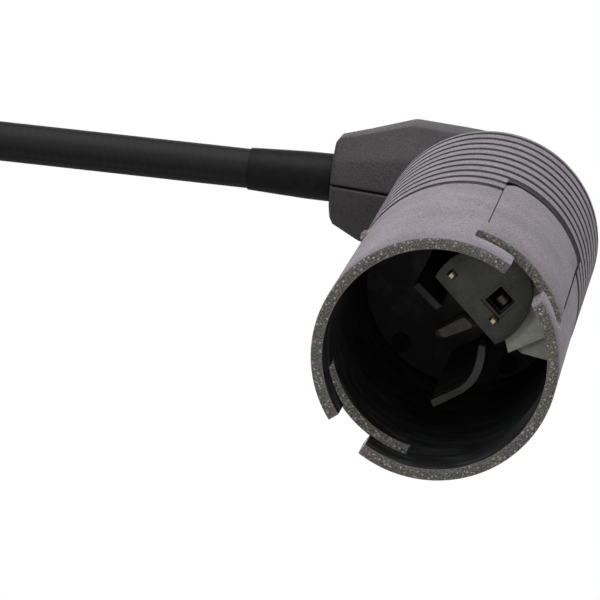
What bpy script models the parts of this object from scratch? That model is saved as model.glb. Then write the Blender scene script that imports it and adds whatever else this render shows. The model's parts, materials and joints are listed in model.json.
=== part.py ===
"""Masthead cup anemometer: a bayonet foot, a carbon arm and a three-cup rotor head.

Frame: the origin is the centre of the foot's open mouth, +Z runs up the barrel and
-X runs along the arm to the rotor.
"""
import math

import bmesh
import bpy
from mathutils import Matrix, Vector
from mathutils.geometry import interpolate_bezier

MM = 0.001
GAP = 0.3 * MM               # clearance kept between touching pieces

# Foot barrel
BARREL_R = 20.0 * MM
BORE_R = 18.25 * MM
BARREL_L = 100.0 * MM
RIB_R = 20.5 * MM
GROOVE_FIRST = 49.4 * MM
GROOVE_PITCH = 5.35 * MM
GROOVE_COUNT = 10
GROOVE_HALF = 0.8 * MM
GROOVE_DEPTH = 0.8 * MM
CARRIER_RING_Z = (62.0 * MM, 66.0 * MM)
CARRIER_RING_R = 13.5 * MM
CAP_RING_Z = (86.7 * MM, 92.7 * MM)
CAP_RING_R = 10.5 * MM

# Bayonet slots and latch share one azimuth; the second slot is opposite
KEY_AZ = math.radians(-47.0)
SLOT_HALF = math.radians(31.2)
ENTRY_HALF = math.radians(10.3)
SLOT_Z = (6.1 * MM, 12.4 * MM)
WINDOW_V = (-9.5 * MM, 9.75 * MM)
WINDOW_Z = (20.0 * MM, 60.6 * MM)
TONGUE_V = (-9.2 * MM, 9.15 * MM)
TONGUE_TOP = 57.4 * MM
NUB_AZ = math.radians(-150.0)
NUB_Z = 44.0 * MM

# Contact insert, in the key direction u and across it v
PLATE_Z = (20.0 * MM, 22.0 * MM)
PLATE_EDGE_U = 4.85 * MM
PLATE_CENTRE = (8.2 * MM, -0.8 * MM)
PLATE_RADII = (9.0 * MM, 8.1 * MM)
COLUMN_RADII = (5.3 * MM, 6.6 * MM)
BASE_Z = (58.0 * MM, 61.7 * MM)
BASE_R = 17.95 * MM
HOLE_CENTRE = (10.3 * MM, 1.75 * MM)
HOLE_SIDE = 3.5 * MM
PINS_UV = ((7.3 * MM, -6.8 * MM), (7.45 * MM, 3.44 * MM))
PIN_SIDE = 0.7 * MM
PIN_HOLE = 1.3 * MM
BOARD_Z = (62.0 * MM, 63.6 * MM)
BOARD_R = 13.0 * MM
CARRIER_SCREW_R = 15.8 * MM

# Rear cap and elbow
CAP_Z = (93.0 * MM, 100.0 * MM)
SPIGOT_R = 8.0 * MM
SPIGOT_TOP = 118.0 * MM
CAP_SCREW_R = 13.0 * MM
ARM_Z = 142.6 * MM
NECK_R = 12.0 * MM
COLLAR_END = -35.0 * MM
# Each section: place on X, then half widths towards -Y, towards +Y and upright
COLLAR_SECTIONS = ((-35.0, 8.5, 8.5, 8.5), (-28.7, 10.3, 11.6, 10.4), (-20.0, 13.0, 13.0, 13.0),
                   (-8.3, 12.3, 12.6, 13.0), (3.6, 11.1, 11.3, 13.0), (8.0, 8.3, 8.5, 10.0))
SPLIT = 0.15 * MM
ELBOW_SCREWS = ((-22.0 * MM, 8.3 * MM), (-22.0 * MM, -8.3 * MM), (1.6 * MM, 9.1 * MM), (5.4 * MM, -32.6 * MM))

# Arm and cable
TUBE_R = 4.0 * MM
TUBE_BORE = 3.0 * MM
TUBE_START = -15.3 * MM
CABLE_R = 1.25 * MM

# Rotor head
HEAD_X = -260.0 * MM
HEAD_R = 14.0 * MM
HEAD_FLOOR = ARM_Z - 17.0 * MM
HEAD_TOP = ARM_Z + 10.7 * MM
HEAD_CAVITY_R = 11.5 * MM
CAVITY_FLOOR = 134.0 * MM
CAP_THICK = 4.0 * MM
POST_R = 9.2 * MM
BOSS_R = 7.0 * MM
BOSS_END = HEAD_X + 32.0 * MM
BEARING_R = 4.5 * MM
SHAFT_R = 2.0 * MM
RACE_R = SHAFT_R + GAP
ROTOR_Z = 106.0 * MM
CUP_COUNT = 3
CUP_CENTRE = 38.0 * MM
CUP_R = 17.0 * MM
CUP_DEPTH = 22.0 * MM
CUP_MOUTH = 9.0 * MM
CUP_WALL = 1.2 * MM
ARM_ROD_R = 1.8 * MM

U = Vector((math.cos(KEY_AZ), math.sin(KEY_AZ), 0))
V = Vector((-math.sin(KEY_AZ), math.cos(KEY_AZ), 0))
HEAD = Matrix.Translation((HEAD_X, 0, 0))


def clear_scene():
    for obj in list(bpy.data.objects):
        bpy.data.objects.remove(obj, do_unlink=True)


def material(name, colour, roughness, metallic=0.0):
    """A Principled material; colour is linear RGB."""
    mat = bpy.data.materials.new(name)
    mat.use_nodes = True
    shader = mat.node_tree.nodes["Principled BSDF"]
    shader.inputs["Base Color"].default_value = (*colour, 1)
    shader.inputs["Roughness"].default_value = roughness
    shader.inputs["Metallic"].default_value = metallic
    mat.diffuse_color = (*colour, 1)
    return mat


GREY_PRINT = ("grey_sintered_nylon", (0.28, 0.26, 0.28), 0.75, 0.0)
DARK_PRINT = ("dark_sintered_nylon", (0.10, 0.10, 0.11), 0.7, 0.0)
LIGHT_MOULD = ("grey_moulded_plastic", (0.30, 0.30, 0.29), 0.5, 0.0)
CARBON = ("carbon_tube", (0.012, 0.012, 0.014), 0.25, 0.0)
BLACK_MOULD = ("black_moulded_plastic", (0.02, 0.02, 0.022), 0.45, 0.0)
STEEL = ("stainless_steel", (0.55, 0.55, 0.54), 0.3, 1.0)
GOLD = ("gold_plated_brass", (0.85, 0.62, 0.25), 0.25, 1.0)
BOARD = ("green_circuit_board", (0.02, 0.12, 0.05), 0.45, 0.0)
RUBBER = ("black_rubber", (0.015, 0.015, 0.015), 0.8, 0.0)
MAGNET = ("nickel_plated_magnet", (0.6, 0.58, 0.52), 0.25, 1.0)


def place(name, bm, finish, matrix=None, parent=None, smooth=True):
    """Turns a bmesh into a named object with its own material."""
    bmesh.ops.remove_doubles(bm, verts=bm.verts, dist=1e-7)
    bmesh.ops.recalc_face_normals(bm, faces=bm.faces)
    mesh = bpy.data.meshes.new(name)
    bm.to_mesh(mesh)
    bm.free()
    if smooth:
        mesh.shade_smooth()
        mesh.set_sharp_from_angle(angle=math.radians(35))
    obj = bpy.data.objects.new(name, mesh)
    bpy.context.scene.collection.objects.link(obj)
    if finish:
        mesh.materials.append(material(f"{name}_{finish[0]}", *finish[1:]))
    if parent:
        obj.parent = parent
    if matrix:
        obj.matrix_local = matrix
    return obj


def guide(obj):
    obj.hide_render = True
    obj.display_type = "WIRE"
    return obj


def boolean(target, tool, operation="DIFFERENCE"):
    """Adds an exact Boolean and hides its tool."""
    mod = target.modifiers.new(tool.name, "BOOLEAN")
    mod.operation = operation
    mod.solver = "EXACT"
    mod.object = guide(tool)
    return target


def lathe(name, profile, finish, steps=24, closed=True, **placing):
    """Turns (radius, height) points about Z; an open profile starts and ends on the axis."""
    bm = bmesh.new()
    verts = [bm.verts.new((r, 0, z)) for r, z in profile]
    edges = [bm.edges.new(pair) for pair in zip(verts, verts[1:])]
    if closed:
        edges.append(bm.edges.new((verts[-1], verts[0])))
    bmesh.ops.spin(bm, geom=verts + edges, axis=(0, 0, 1), cent=(0, 0, 0),
                   steps=steps, angle=math.tau, use_merge=True, use_duplicate=False)
    bmesh.ops.remove_doubles(bm, verts=bm.verts, dist=1e-7)
    return place(name, bm, finish, **placing)


def extruded(name, outline, low, high, finish, **placing):
    """Extrudes a flat outline of (x, y) points from height low to high."""
    bm = bmesh.new()
    face = bm.faces.new([bm.verts.new((x, y, low)) for x, y in outline])
    grown = bmesh.ops.extrude_face_region(bm, geom=[face])
    moved = [item for item in grown["geom"] if isinstance(item, bmesh.types.BMVert)]
    bmesh.ops.translate(bm, verts=moved, vec=(0, 0, high - low))
    return place(name, bm, finish, **placing)


def along(start, end):
    """Matrix that carries the Z axis onto the line from start to end."""
    start = Vector(start)
    turn = (Vector(end) - start).to_track_quat("Z", "Y").to_matrix().to_4x4()
    return Matrix.Translation(start) @ turn


def rod(name, radius, start, end, finish, steps=20, bore=0.0, frame=Matrix(), parent=None):
    """A round bar between two points of a frame, or a tube when bore is given."""
    length = (Vector(end) - Vector(start)).length
    profile = [(bore, 0), (radius, 0), (radius, length), (bore, length)]
    return lathe(name, profile, finish, steps, closed=bore > 0, matrix=frame @ along(start, end),
                 parent=parent)


def block(name, low, high, finish, matrix=None):
    corners = [(low[0], low[1]), (high[0], low[1]), (high[0], high[1]), (low[0], high[1])]
    return extruded(name, corners, low[2], high[2], finish, matrix=matrix, smooth=False)


def arc(radius, start, end, steps, centre=(0, 0)):
    """Points on a circle from angle start to end, both included."""
    angles = [start + (end - start) * i / steps for i in range(steps + 1)]
    return [(centre[0] + radius * math.cos(a), centre[1] + radius * math.sin(a)) for a in angles]


def sector(inner, outer, start, end, steps=12):
    return arc(outer, start, end, steps) + arc(inner, end, start, steps)


def polar(radius, angle, height=0.0):
    return Vector((radius * math.cos(angle), radius * math.sin(angle), height))


def uv_point(uv, height=0.0):
    return U * uv[0] + V * uv[1] + Vector((0, 0, height))


def uv_outline(points):
    return [tuple(uv_point(point)[:2]) for point in points]


def uv_square(centre, side):
    half = side / 2
    corners = ((-half, -half), (half, -half), (half, half), (-half, half))
    return uv_outline([(centre[0] + du, centre[1] + dv) for du, dv in corners])


def screw(radius, head_radius, head_height, length):
    """Pan screw profile: the head's top is at 0 and the shank points down."""
    return [(0, 0), (head_radius, 0), (head_radius, -head_height), (radius, -head_height),
            (radius, -length), (0, -length)]


def screw_set(name, tops, direction, sizes):
    """Like screws, numbered from 1, with their head tops at the given points."""
    for number, top in enumerate(tops, 1):
        matrix = along(Vector(top), Vector(top) - Vector(direction))
        lathe(f"{name}_{number}", screw(*sizes), STEEL, 8, closed=False, matrix=matrix)


# ---------------------------------------------------------------- foot
def barrel_profile():
    """Closed section of the barrel: smooth sleeve, ten V grooves, and two inner rings."""
    points = [(BORE_R, 0), (BARREL_R, 0)]
    radius = BARREL_R
    for index in range(GROOVE_COUNT):
        middle = GROOVE_FIRST + index * GROOVE_PITCH
        points += [(radius, middle - GROOVE_HALF), (RIB_R - GROOVE_DEPTH, middle)]
        radius = RIB_R
        points.append((radius, middle + GROOVE_HALF))
    points += [(RIB_R, BARREL_L - 0.5 * MM), (RIB_R - 0.5 * MM, BARREL_L), (BORE_R, BARREL_L)]
    for low, high, inner in ((*CAP_RING_Z, CAP_RING_R), (*CARRIER_RING_Z, CARRIER_RING_R)):
        points += [(BORE_R, high), (inner, high), (inner, low), (BORE_R, low)]
    return points


def make_barrel():
    barrel = lathe("foot_barrel", barrel_profile(), GREY_PRINT, 40)
    nub = extruded("nub", arc(2.2 * MM, 0, math.tau - math.tau / 10, 9), 0, 1.6 * MM, None,
                   matrix=along(polar(BARREL_R - 0.7 * MM, NUB_AZ, NUB_Z), polar(BARREL_R, NUB_AZ, NUB_Z)))
    boolean(barrel, nub, "UNION")
    for number, azimuth in enumerate((KEY_AZ, KEY_AZ + math.pi)):
        entry = sector(BORE_R - 1.5 * MM, 26 * MM, azimuth - ENTRY_HALF, azimuth + ENTRY_HALF, 4)
        slot = sector(BORE_R - 1.5 * MM, 26 * MM, azimuth - SLOT_HALF, azimuth + SLOT_HALF, 12)
        boolean(barrel, extruded(f"entry_{number}", entry, -1 * MM, SLOT_Z[0] + 0.5 * MM, None))
        boolean(barrel, extruded(f"slot_{number}", slot, *SLOT_Z, None))
    window = uv_outline([(14 * MM, WINDOW_V[0]), (24 * MM, WINDOW_V[0]),
                         (24 * MM, WINDOW_V[1]), (14 * MM, WINDOW_V[1])])
    boolean(barrel, extruded("window", window, *WINDOW_Z, None))
    for number in range(4):
        spot = polar(CAP_SCREW_R, math.pi / 4 + number * math.pi / 2)
        boolean(barrel, rod(f"cap_hole_{number}", 1.5 * MM, spot + Vector((0, 0, 87.4 * MM)),
                            spot + Vector((0, 0, 94 * MM)), None, 10))
    for number in range(3):
        spot = polar(CARRIER_SCREW_R, carrier_screw_angle(number))
        boolean(barrel, rod(f"ring_hole_{number}", 1.1 * MM, spot + Vector((0, 0, 60 * MM)),
                            spot + Vector((0, 0, 65.3 * MM)), None, 10))
    return barrel


def carrier_screw_angle(number):
    return KEY_AZ + math.pi + (number - 1) * math.radians(75)


def make_latch():
    """The flexing tongue: its parent empty is the root line where it bends."""
    root = bpy.data.objects.new("latch_root", None)
    root.location = polar((BARREL_R + BORE_R) / 2, KEY_AZ, WINDOW_Z[0] + GAP)
    bpy.context.scene.collection.objects.link(root)
    low, high = (math.asin(v / BARREL_R) for v in TONGUE_V)
    inner_low, inner_high = (math.asin(v / BORE_R) for v in TONGUE_V)
    outline = arc(BARREL_R, low, high, 14) + arc(BORE_R, inner_high, inner_low, 14)
    back = Matrix.Translation(-root.location)
    outline = uv_outline(outline)
    tongue = extruded("latch_tongue", outline, WINDOW_Z[0] + GAP, TONGUE_TOP, GREY_PRINT,
                      matrix=back, parent=root)
    tooth = extruded("tooth", uv_outline(sector(16.3 * MM, BORE_R + 0.8 * MM, -0.11, 0.11, 4)),
                     48 * MM, 53 * MM, None, matrix=back, parent=root)
    boolean(tongue, tooth, "UNION")


def ellipse_column(radii, edge, steps=22):
    """Outline of an ellipse cut by a straight edge at u = edge."""
    cut = math.acos((edge - PLATE_CENTRE[0]) / radii[0])
    points = []
    for index in range(steps + 1):
        angle = -cut + 2 * cut * index / steps
        points.append((PLATE_CENTRE[0] + radii[0] * math.cos(angle),
                       PLATE_CENTRE[1] + radii[1] * math.sin(angle)))
    return uv_outline(points)


def make_contacts():
    plate = extruded("key_plate", ellipse_column(PLATE_RADII, PLATE_EDGE_U, 28), *PLATE_Z, LIGHT_MOULD)
    boolean(plate, extruded("plate_hole", uv_square(HOLE_CENTRE, HOLE_SIDE), 19 * MM, 23 * MM, None))
    carrier = lathe("contact_carrier", [(0, BASE_Z[0]), (BASE_R, BASE_Z[0]), (BASE_R, BASE_Z[1]),
                                        (0, BASE_Z[1])], DARK_PRINT, 36, closed=False)
    column = extruded("column", ellipse_column(COLUMN_RADII, PLATE_EDGE_U + GAP),
                      PLATE_Z[1] + GAP, BASE_Z[0] + 1 * MM, None)
    boolean(carrier, column, "UNION")
    boolean(carrier, extruded("column_hole", uv_square(HOLE_CENTRE, 3.1 * MM), 21 * MM, 36 * MM, None))
    board = lathe("contact_board", [(0, BOARD_Z[0]), (BOARD_R, BOARD_Z[0]), (BOARD_R, BOARD_Z[1]),
                                    (0, BOARD_Z[1])], BOARD, 28, closed=False)
    for number, centre in enumerate(PINS_UV, 1):
        hole = uv_square(centre, PIN_HOLE)
        boolean(plate, extruded(f"plate_pin_{number}", hole, 19 * MM, 23 * MM, None))
        boolean(carrier, extruded(f"carrier_pin_{number}", hole, 21 * MM, 62 * MM, None))
        boolean(board, extruded(f"board_pin_{number}", hole, 61 * MM, 65 * MM, None))
        extruded(f"contact_pin_{number}", uv_square(centre, PIN_SIDE), 18.6 * MM, 64.6 * MM, GOLD,
                 smooth=False)
    for number in range(3):
        spot = polar(CARRIER_SCREW_R, carrier_screw_angle(number))
        boolean(carrier, rod(f"carrier_hole_{number}", 1.3 * MM, spot + Vector((0, 0, 57 * MM)),
                             spot + Vector((0, 0, 63 * MM)), None, 10))
    tops = [polar(CARRIER_SCREW_R, carrier_screw_angle(n), 56.2 * MM) for n in range(3)]
    screw_set("carrier_screw", tops, (0, 0, 1), (0.8 * MM, 1.7 * MM, 1.5 * MM, 8.6 * MM))
    leaf = [(9.4 * MM, 0.0), (9.9 * MM, 0.0), (9.9 * MM, 1.6 * MM), (9.4 * MM, 1.6 * MM)]
    extruded("spring_contact", uv_outline([(u + 0.6 * MM, v + 0.9 * MM) for u, v in leaf]),
             19.0 * MM, 35.7 * MM, GOLD, smooth=False)
    peg = [(4.5, -0.2), (4.5, 2.8), (-1.2, 0.6), (-1.9, -0.4), (-1.2, -1.5)]
    extruded("retainer_peg", uv_outline([(u * MM, v * MM) for u, v in peg]), 20.6 * MM, 25 * MM, LIGHT_MOULD)
    bar = [(0.1, -9.0), (1.2, -9.0), (1.5, -3.6), (0.4, -3.6)]
    extruded("guide_bar", uv_outline([(u * MM, v * MM) for u, v in bar]), 24 * MM, 57.7 * MM, BLACK_MOULD)
    route = [Vector(point) * MM for point in ((-1.3, 12.4, 0), (1.7, 10.6, 0), (4.6, 8.3, 0),
                                              (5.9, 5.2, 0), (6.1, 1.6, 0))]
    extruded("keying_rib", ribbon(route, 0.6 * MM), 20 * MM, 57.7 * MM, LIGHT_MOULD)
    make_shoulder()
    block("signal_chip", (-9 * MM, -3.5 * MM, 63.9 * MM), (-2 * MM, 3.5 * MM, 65.5 * MM), BLACK_MOULD)
    for number, x in enumerate((-4.5 * MM, 0.5 * MM), 1):
        rod(f"capacitor_{number}", 1.6 * MM, (x, 8.4 * MM, 63.9 * MM), (x, 8.4 * MM, 68.4 * MM), STEEL, 16)
    plug = block("cable_plug", (-3 * MM, -3 * MM, 66.1 * MM), (3 * MM, 3 * MM, 71 * MM), LIGHT_MOULD)
    plug.location = (1.5 * MM, 0, -0.6 * MM)


def make_shoulder():
    """Shelf between the plate and the bore; its lower step has a leg down to the carrier."""
    inner = [(PLATE_CENTRE[0] + 6.2 * MM * math.cos(a), PLATE_CENTRE[1] + 7.6 * MM * math.sin(a))
             for a in (math.radians(105 - 83 * k / 10) for k in range(11))]
    step = [(12.6 * MM, 11.85 * MM), (5.0 * MM, 9.5 * MM)]
    shelf = arc(17.3 * MM, math.radians(10), math.radians(43), 8) + step + inner
    shoulder = extruded("key_shoulder", uv_outline(shelf), 22.5 * MM, 30 * MM, LIGHT_MOULD)
    leg = arc(17.9 * MM, math.radians(41), math.radians(60), 6) + [(6.2 * MM, 11.4 * MM), (5.4 * MM, 8.2 * MM)]
    boolean(shoulder, extruded("shoulder_leg", uv_outline(leg), 25 * MM, BASE_Z[0] - GAP, None), "UNION")


def ribbon(route, half):
    """Outline of a strip of constant thickness along a route in the XY plane."""
    left = []
    right = []
    for index, point in enumerate(route):
        ahead = route[min(index + 1, len(route) - 1)]
        behind = route[max(index - 1, 0)]
        side = (ahead - behind).normalized().cross(Vector((0, 0, 1))) * half
        left.append(tuple((point + side)[:2]))
        right.append(tuple((point - side)[:2]))
    return left + right[::-1]


# ---------------------------------------------------------------- rear cap and elbow
def make_rear_cap():
    low, high = CAP_Z
    groove = 16.2 * MM
    profile = [(3 * MM, low), (BASE_R, low), (BASE_R, 95.2 * MM), (groove, 95.2 * MM), (groove, 97.2 * MM),
               (BASE_R, 97.2 * MM), (BASE_R, high), (SPIGOT_R, high), (SPIGOT_R, SPIGOT_TOP),
               (3 * MM, SPIGOT_TOP)]
    cap = lathe("rear_cap", profile, DARK_PRINT, 28)
    lathe("rear_seal", [(16.5 * MM, 95.5 * MM), (BASE_R, 95.5 * MM), (BASE_R, 96.9 * MM),
                        (16.5 * MM, 96.9 * MM)], RUBBER, 24)
    tops = []
    for number in range(4):
        spot = polar(CAP_SCREW_R, math.pi / 4 + number * math.pi / 2)
        up = Vector((0, 0, 1))
        boolean(cap, rod(f"cap_through_{number}", 1.5 * MM, spot + up * 92 * MM, spot + up * 99 * MM, None, 10))
        boolean(cap, rod(f"cap_recess_{number}", 2.6 * MM, spot + up * 97.8 * MM, spot + up * 101 * MM, None, 12))
        tops.append(spot + up * 99.8 * MM)
    screw_set("rear_screw", tops, (0, 0, -1), (1.2 * MM, 2.2 * MM, 1.7 * MM, 12 * MM))
    x, z = ELBOW_SCREWS[3]
    boolean(cap, rod("spigot_hole", 1.6 * MM, (x, -9 * MM, ARM_Z + z), (x, 9 * MM, ARM_Z + z), None, 10))
    boolean(cap, rod("spigot_recess", 2.7 * MM, (x, 5 * MM, ARM_Z + z), (x, 9 * MM, ARM_Z + z), None, 12))


def octagon(front, back, upright):
    """Eight corners around the arm axis in the YZ plane, flats up, down and to the sides."""
    corners = []
    for k in range(8):
        angle = math.pi / 8 + k * math.pi / 4
        across = math.cos(angle) / math.cos(math.pi / 8)
        corners.append((across * (back if across > 0 else front),
                        upright * math.sin(angle) / math.cos(math.pi / 8)))
    return corners


def elbow_solid(name, finish):
    """Octagonal collar that tapers to the arm."""
    bm = bmesh.new()
    rings = []
    for x, *halves in COLLAR_SECTIONS:
        ring = [bm.verts.new((x * MM, y * MM, ARM_Z + z * MM)) for y, z in octagon(*halves)]
        rings.append([bm.edges.new((ring[k], ring[(k + 1) % 8])) for k in range(8)])
    for first, second in zip(rings, rings[1:]):
        bmesh.ops.bridge_loops(bm, edges=first + second)
    for ring in (rings[0], rings[-1]):
        bmesh.ops.contextual_create(bm, geom=ring)
    return place(name, bm, finish)


def make_elbow():
    for name, side in (("elbow_shell_front", -1), ("elbow_shell_back", 1)):
        shell = elbow_solid(name, DARK_PRINT)
        cutters = [
            rod(f"{name}_spigot", SPIGOT_R + GAP, (0, 0, 95 * MM), (0, 0, SPIGOT_TOP + GAP), None, 32),
            rod(f"{name}_cavity", 7.5 * MM, (0, 0, 117 * MM), (0, 0, 148 * MM), None, 32),
            rod(f"{name}_tube", TUBE_R + GAP, (-40 * MM, 0, ARM_Z), (-15 * MM, 0, ARM_Z), None, 32),
            rod(f"{name}_passage", 3.6 * MM, (-16 * MM, 0, ARM_Z), (0, 0, ARM_Z), None, 22),
        ]
        neck = rod(f"{name}_neck", NECK_R, (0, 0, CAP_Z[1] + GAP), (0, 0, 136 * MM), None, 44)
        boolean(shell, neck, "UNION")
        for number, (x, z) in enumerate(ELBOW_SCREWS):
            height = ARM_Z + z
            cutters.append(rod(f"{name}_hole_{number}", 1.55 * MM, (x, -6.2 * MM, height),
                               (x, 6 * MM, height), None, 10))
            cutters.append(rod(f"{name}_recess_{number}", 2.7 * MM, (x, 5.0 * MM, height),
                               (x, 16 * MM, height), None, 12))
        keep_off = (SPLIT, -20 * MM) if side > 0 else (20 * MM, -SPLIT)
        cutters.append(block(f"{name}_half", (-50 * MM, keep_off[1], 90 * MM),
                             (30 * MM, keep_off[0], 170 * MM), None))
        for cutter in cutters:
            boolean(shell, cutter)
    tops = [(x, 7.0 * MM, ARM_Z + z) for x, z in ELBOW_SCREWS]
    screw_set("elbow_screw", tops, (0, -1, 0), (1.25 * MM, 2.3 * MM, 1.7 * MM, 13 * MM))


def make_arm():
    end = HEAD_X + 15.3 * MM
    rod("arm_tube", TUBE_R, (end, 0, ARM_Z), (TUBE_START, 0, ARM_Z), CARBON, 24, bore=TUBE_BORE)
    start = COLLAR_END - GAP
    profile = [(TUBE_R + GAP, 0), (5.0 * MM, 0), (4.9 * MM, 6 * MM), (TUBE_R + GAP + 0.2 * MM, 17 * MM),
               (TUBE_R + GAP, 17 * MM)]
    lathe("arm_gland", profile, RUBBER, 24, matrix=along((start, 0, ARM_Z), (start - 1, 0, ARM_Z)))


def smooth_route(points, spacing):
    """Evenly smooth points through a hand-set route, joined by tangent-matched arcs."""
    result = []
    for index in range(len(points) - 1):
        start = Vector(points[index])
        end = Vector(points[index + 1])
        before = Vector(points[max(index - 1, 0)])
        after = Vector(points[min(index + 2, len(points) - 1)])
        reach = (end - start).length / 3
        leave = (end - before).normalized() * reach
        arrive = (after - start).normalized() * reach
        count = max(2, math.ceil((end - start).length / spacing) + 1)
        result += interpolate_bezier(start, start + leave, end - arrive, end, count)[:-1]
    return result + [Vector(points[-1])]


CABLE_ROUTE = ((1.5, 0, 70.9), (1.2, 0, 80), (0.4, 0, 100), (0, 0, 118), (0, 0, 126), (-1.2, 0, 133.5),
               (-4.7, 0, 138.5), (-9.5, 0, 141.6), (-15, 0, 142.6), (-30, 0, 142.6), (-130, 0, 142.6),
               (-230, 0, 142.6), (-246, 0, 142.6), (-249.0, 0, 141.9), (-251.0, 0, 140.0),
               (-251.8, 0, 137.2))


def make_cable():
    curve = bpy.data.curves.new("sensor_cable", "CURVE")
    curve.dimensions = "3D"
    curve.bevel_depth = CABLE_R
    curve.bevel_resolution = 2
    curve.use_fill_caps = True
    route = [Vector(point) * MM for point in CABLE_ROUTE]
    points = smooth_route(route, 12 * MM)
    spline = curve.splines.new("POLY")
    spline.points.add(len(points) - 1)
    for slot, point in zip(spline.points, points):
        slot.co = (*point, 1)
    curve.materials.append(material("sensor_cable_jacket", (0.02, 0.02, 0.02), 0.6))
    bpy.context.scene.collection.objects.link(bpy.data.objects.new("sensor_cable", curve))


# ---------------------------------------------------------------- rotor head
def post_angle(number):
    return math.radians(60 + 120 * number)


def make_head():
    seat = BEARING_R + GAP
    profile = [(seat, 115.6 * MM), (8 * MM, 115.6 * MM), (8 * MM, HEAD_FLOOR), (12 * MM, HEAD_FLOOR),
               (HEAD_R, HEAD_FLOOR + 3 * MM), (HEAD_R, HEAD_TOP), (13.5 * MM, HEAD_TOP),
               (13.5 * MM, HEAD_TOP - 0.9 * MM), (12.1 * MM, HEAD_TOP - 0.9 * MM), (12.1 * MM, HEAD_TOP),
               (HEAD_CAVITY_R, HEAD_TOP), (HEAD_CAVITY_R, CAVITY_FLOOR), (seat, CAVITY_FLOOR),
               (seat, 129.4 * MM), (3.9 * MM, 129.4 * MM), (3.9 * MM, 120.3 * MM), (seat, 120.3 * MM)]
    body = lathe("head_body", profile, DARK_PRINT, 32, matrix=HEAD)
    boss = rod("boss", BOSS_R, (HEAD_X + 12 * MM, 0, ARM_Z), (BOSS_END, 0, ARM_Z), None, 30)
    boolean(body, boss, "UNION")
    for number in range(3):
        spot = HEAD @ polar(POST_R, post_angle(number))
        post = rod(f"post_{number}", 2.4 * MM, spot + Vector((0, 0, CAVITY_FLOOR - 1 * MM)),
                   spot + Vector((0, 0, HEAD_TOP - 0.2 * MM)), None, 16)
        boolean(body, post, "UNION")
    for number in range(3):
        spot = HEAD @ polar(POST_R, post_angle(number))
        boolean(body, rod(f"post_hole_{number}", 1.25 * MM, spot + Vector((0, 0, 144.5 * MM)),
                          spot + Vector((0, 0, HEAD_TOP + 1 * MM)), None, 10))
    boolean(body, rod("arm_socket", TUBE_R + GAP, (HEAD_X + 15 * MM, 0, ARM_Z),
                      (BOSS_END + 1 * MM, 0, ARM_Z), None, 26))
    boolean(body, rod("cable_hole", 2.2 * MM, (HEAD_X + 9 * MM, 0, ARM_Z),
                      (HEAD_X + 16 * MM, 0, ARM_Z), None, 12))
    for number, x in enumerate((HEAD_X + 21 * MM, HEAD_X + 27 * MM), 1):
        boolean(body, rod(f"grub_hole_{number}", 1.35 * MM, (x, 0, 134 * MM), (x, 0, ARM_Z), None, 10))
        rod(f"grub_screw_{number}", 1.0 * MM, (x, 0, 136.0 * MM), (x, 0, ARM_Z - TUBE_R - GAP), STEEL, 12)
    seal_low = HEAD_TOP - 0.6 * MM
    lathe("head_seal", [(12.4 * MM, seal_low), (13.2 * MM, seal_low), (13.2 * MM, HEAD_TOP),
                        (12.4 * MM, HEAD_TOP)], RUBBER, 24, matrix=HEAD)
    make_head_cap()


def make_head_cap():
    low = HEAD_TOP + GAP
    high = low + CAP_THICK
    fillet = 2.0 * MM
    edge = arc(fillet, 0, math.pi / 2, 4, centre=(HEAD_R - fillet, high - fillet))
    cap = lathe("head_cap", [(0, low), (HEAD_R, low)] + edge + [(0, high)], DARK_PRINT, 32,
                closed=False, matrix=HEAD)
    tops = []
    for number in range(3):
        spot = HEAD @ polar(POST_R, post_angle(number))
        boolean(cap, rod(f"top_hole_{number}", 1.25 * MM, spot + Vector((0, 0, low - 1 * MM)),
                         spot + Vector((0, 0, high - 1 * MM)), None, 10))
        boolean(cap, rod(f"top_recess_{number}", 2.2 * MM, spot + Vector((0, 0, high - 1.9 * MM)),
                         spot + Vector((0, 0, high + 1 * MM)), None, 12))
        tops.append(spot + Vector((0, 0, high - 0.2 * MM)))
    screw_set("head_screw", tops, (0, 0, -1), (0.95 * MM, 1.8 * MM, 1.4 * MM, 11 * MM))


def make_bearings():
    for name, low, high in (("upper_bearing", 129.7, 133.2), ("lower_bearing", 116.5, 120.0)):
        low *= MM
        high *= MM
        lip = 0.25 * MM
        profile = [(RACE_R, low), (BEARING_R - 1.0 * MM, low), (BEARING_R - 0.8 * MM, low + lip),
                   (BEARING_R - 0.6 * MM, low), (BEARING_R, low), (BEARING_R, high), (RACE_R, high)]
        lathe(name, profile, STEEL, 18, matrix=HEAD)
    board = block("hall_board", (-6 * MM, -5 * MM, 134.3 * MM), (10.2 * MM, 5 * MM, 135.5 * MM), BOARD,
                  matrix=HEAD)
    boolean(board, rod("board_hole", 3.0 * MM, (HEAD_X, 0, 133 * MM), (HEAD_X, 0, 137 * MM), None, 20))


def cup_radius(depth, radius, length):
    """Outer or inner radius of a cup at a depth below its mouth: a blunt rounded cone."""
    return radius * (1 - min(depth / length, 1.0) ** 2) ** 0.6


def cup_profile(radius, length, top, rings=7):
    """Open profile along Z from the mouth plane at top down to the closed nose."""
    profile = [(0, top)]
    for index in range(rings + 1):
        depth = length * math.sin(index / rings * math.pi / 2)
        profile.append((cup_radius(depth, radius, length), top - depth))
    profile[-1] = (0, top - length)
    return profile


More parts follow.
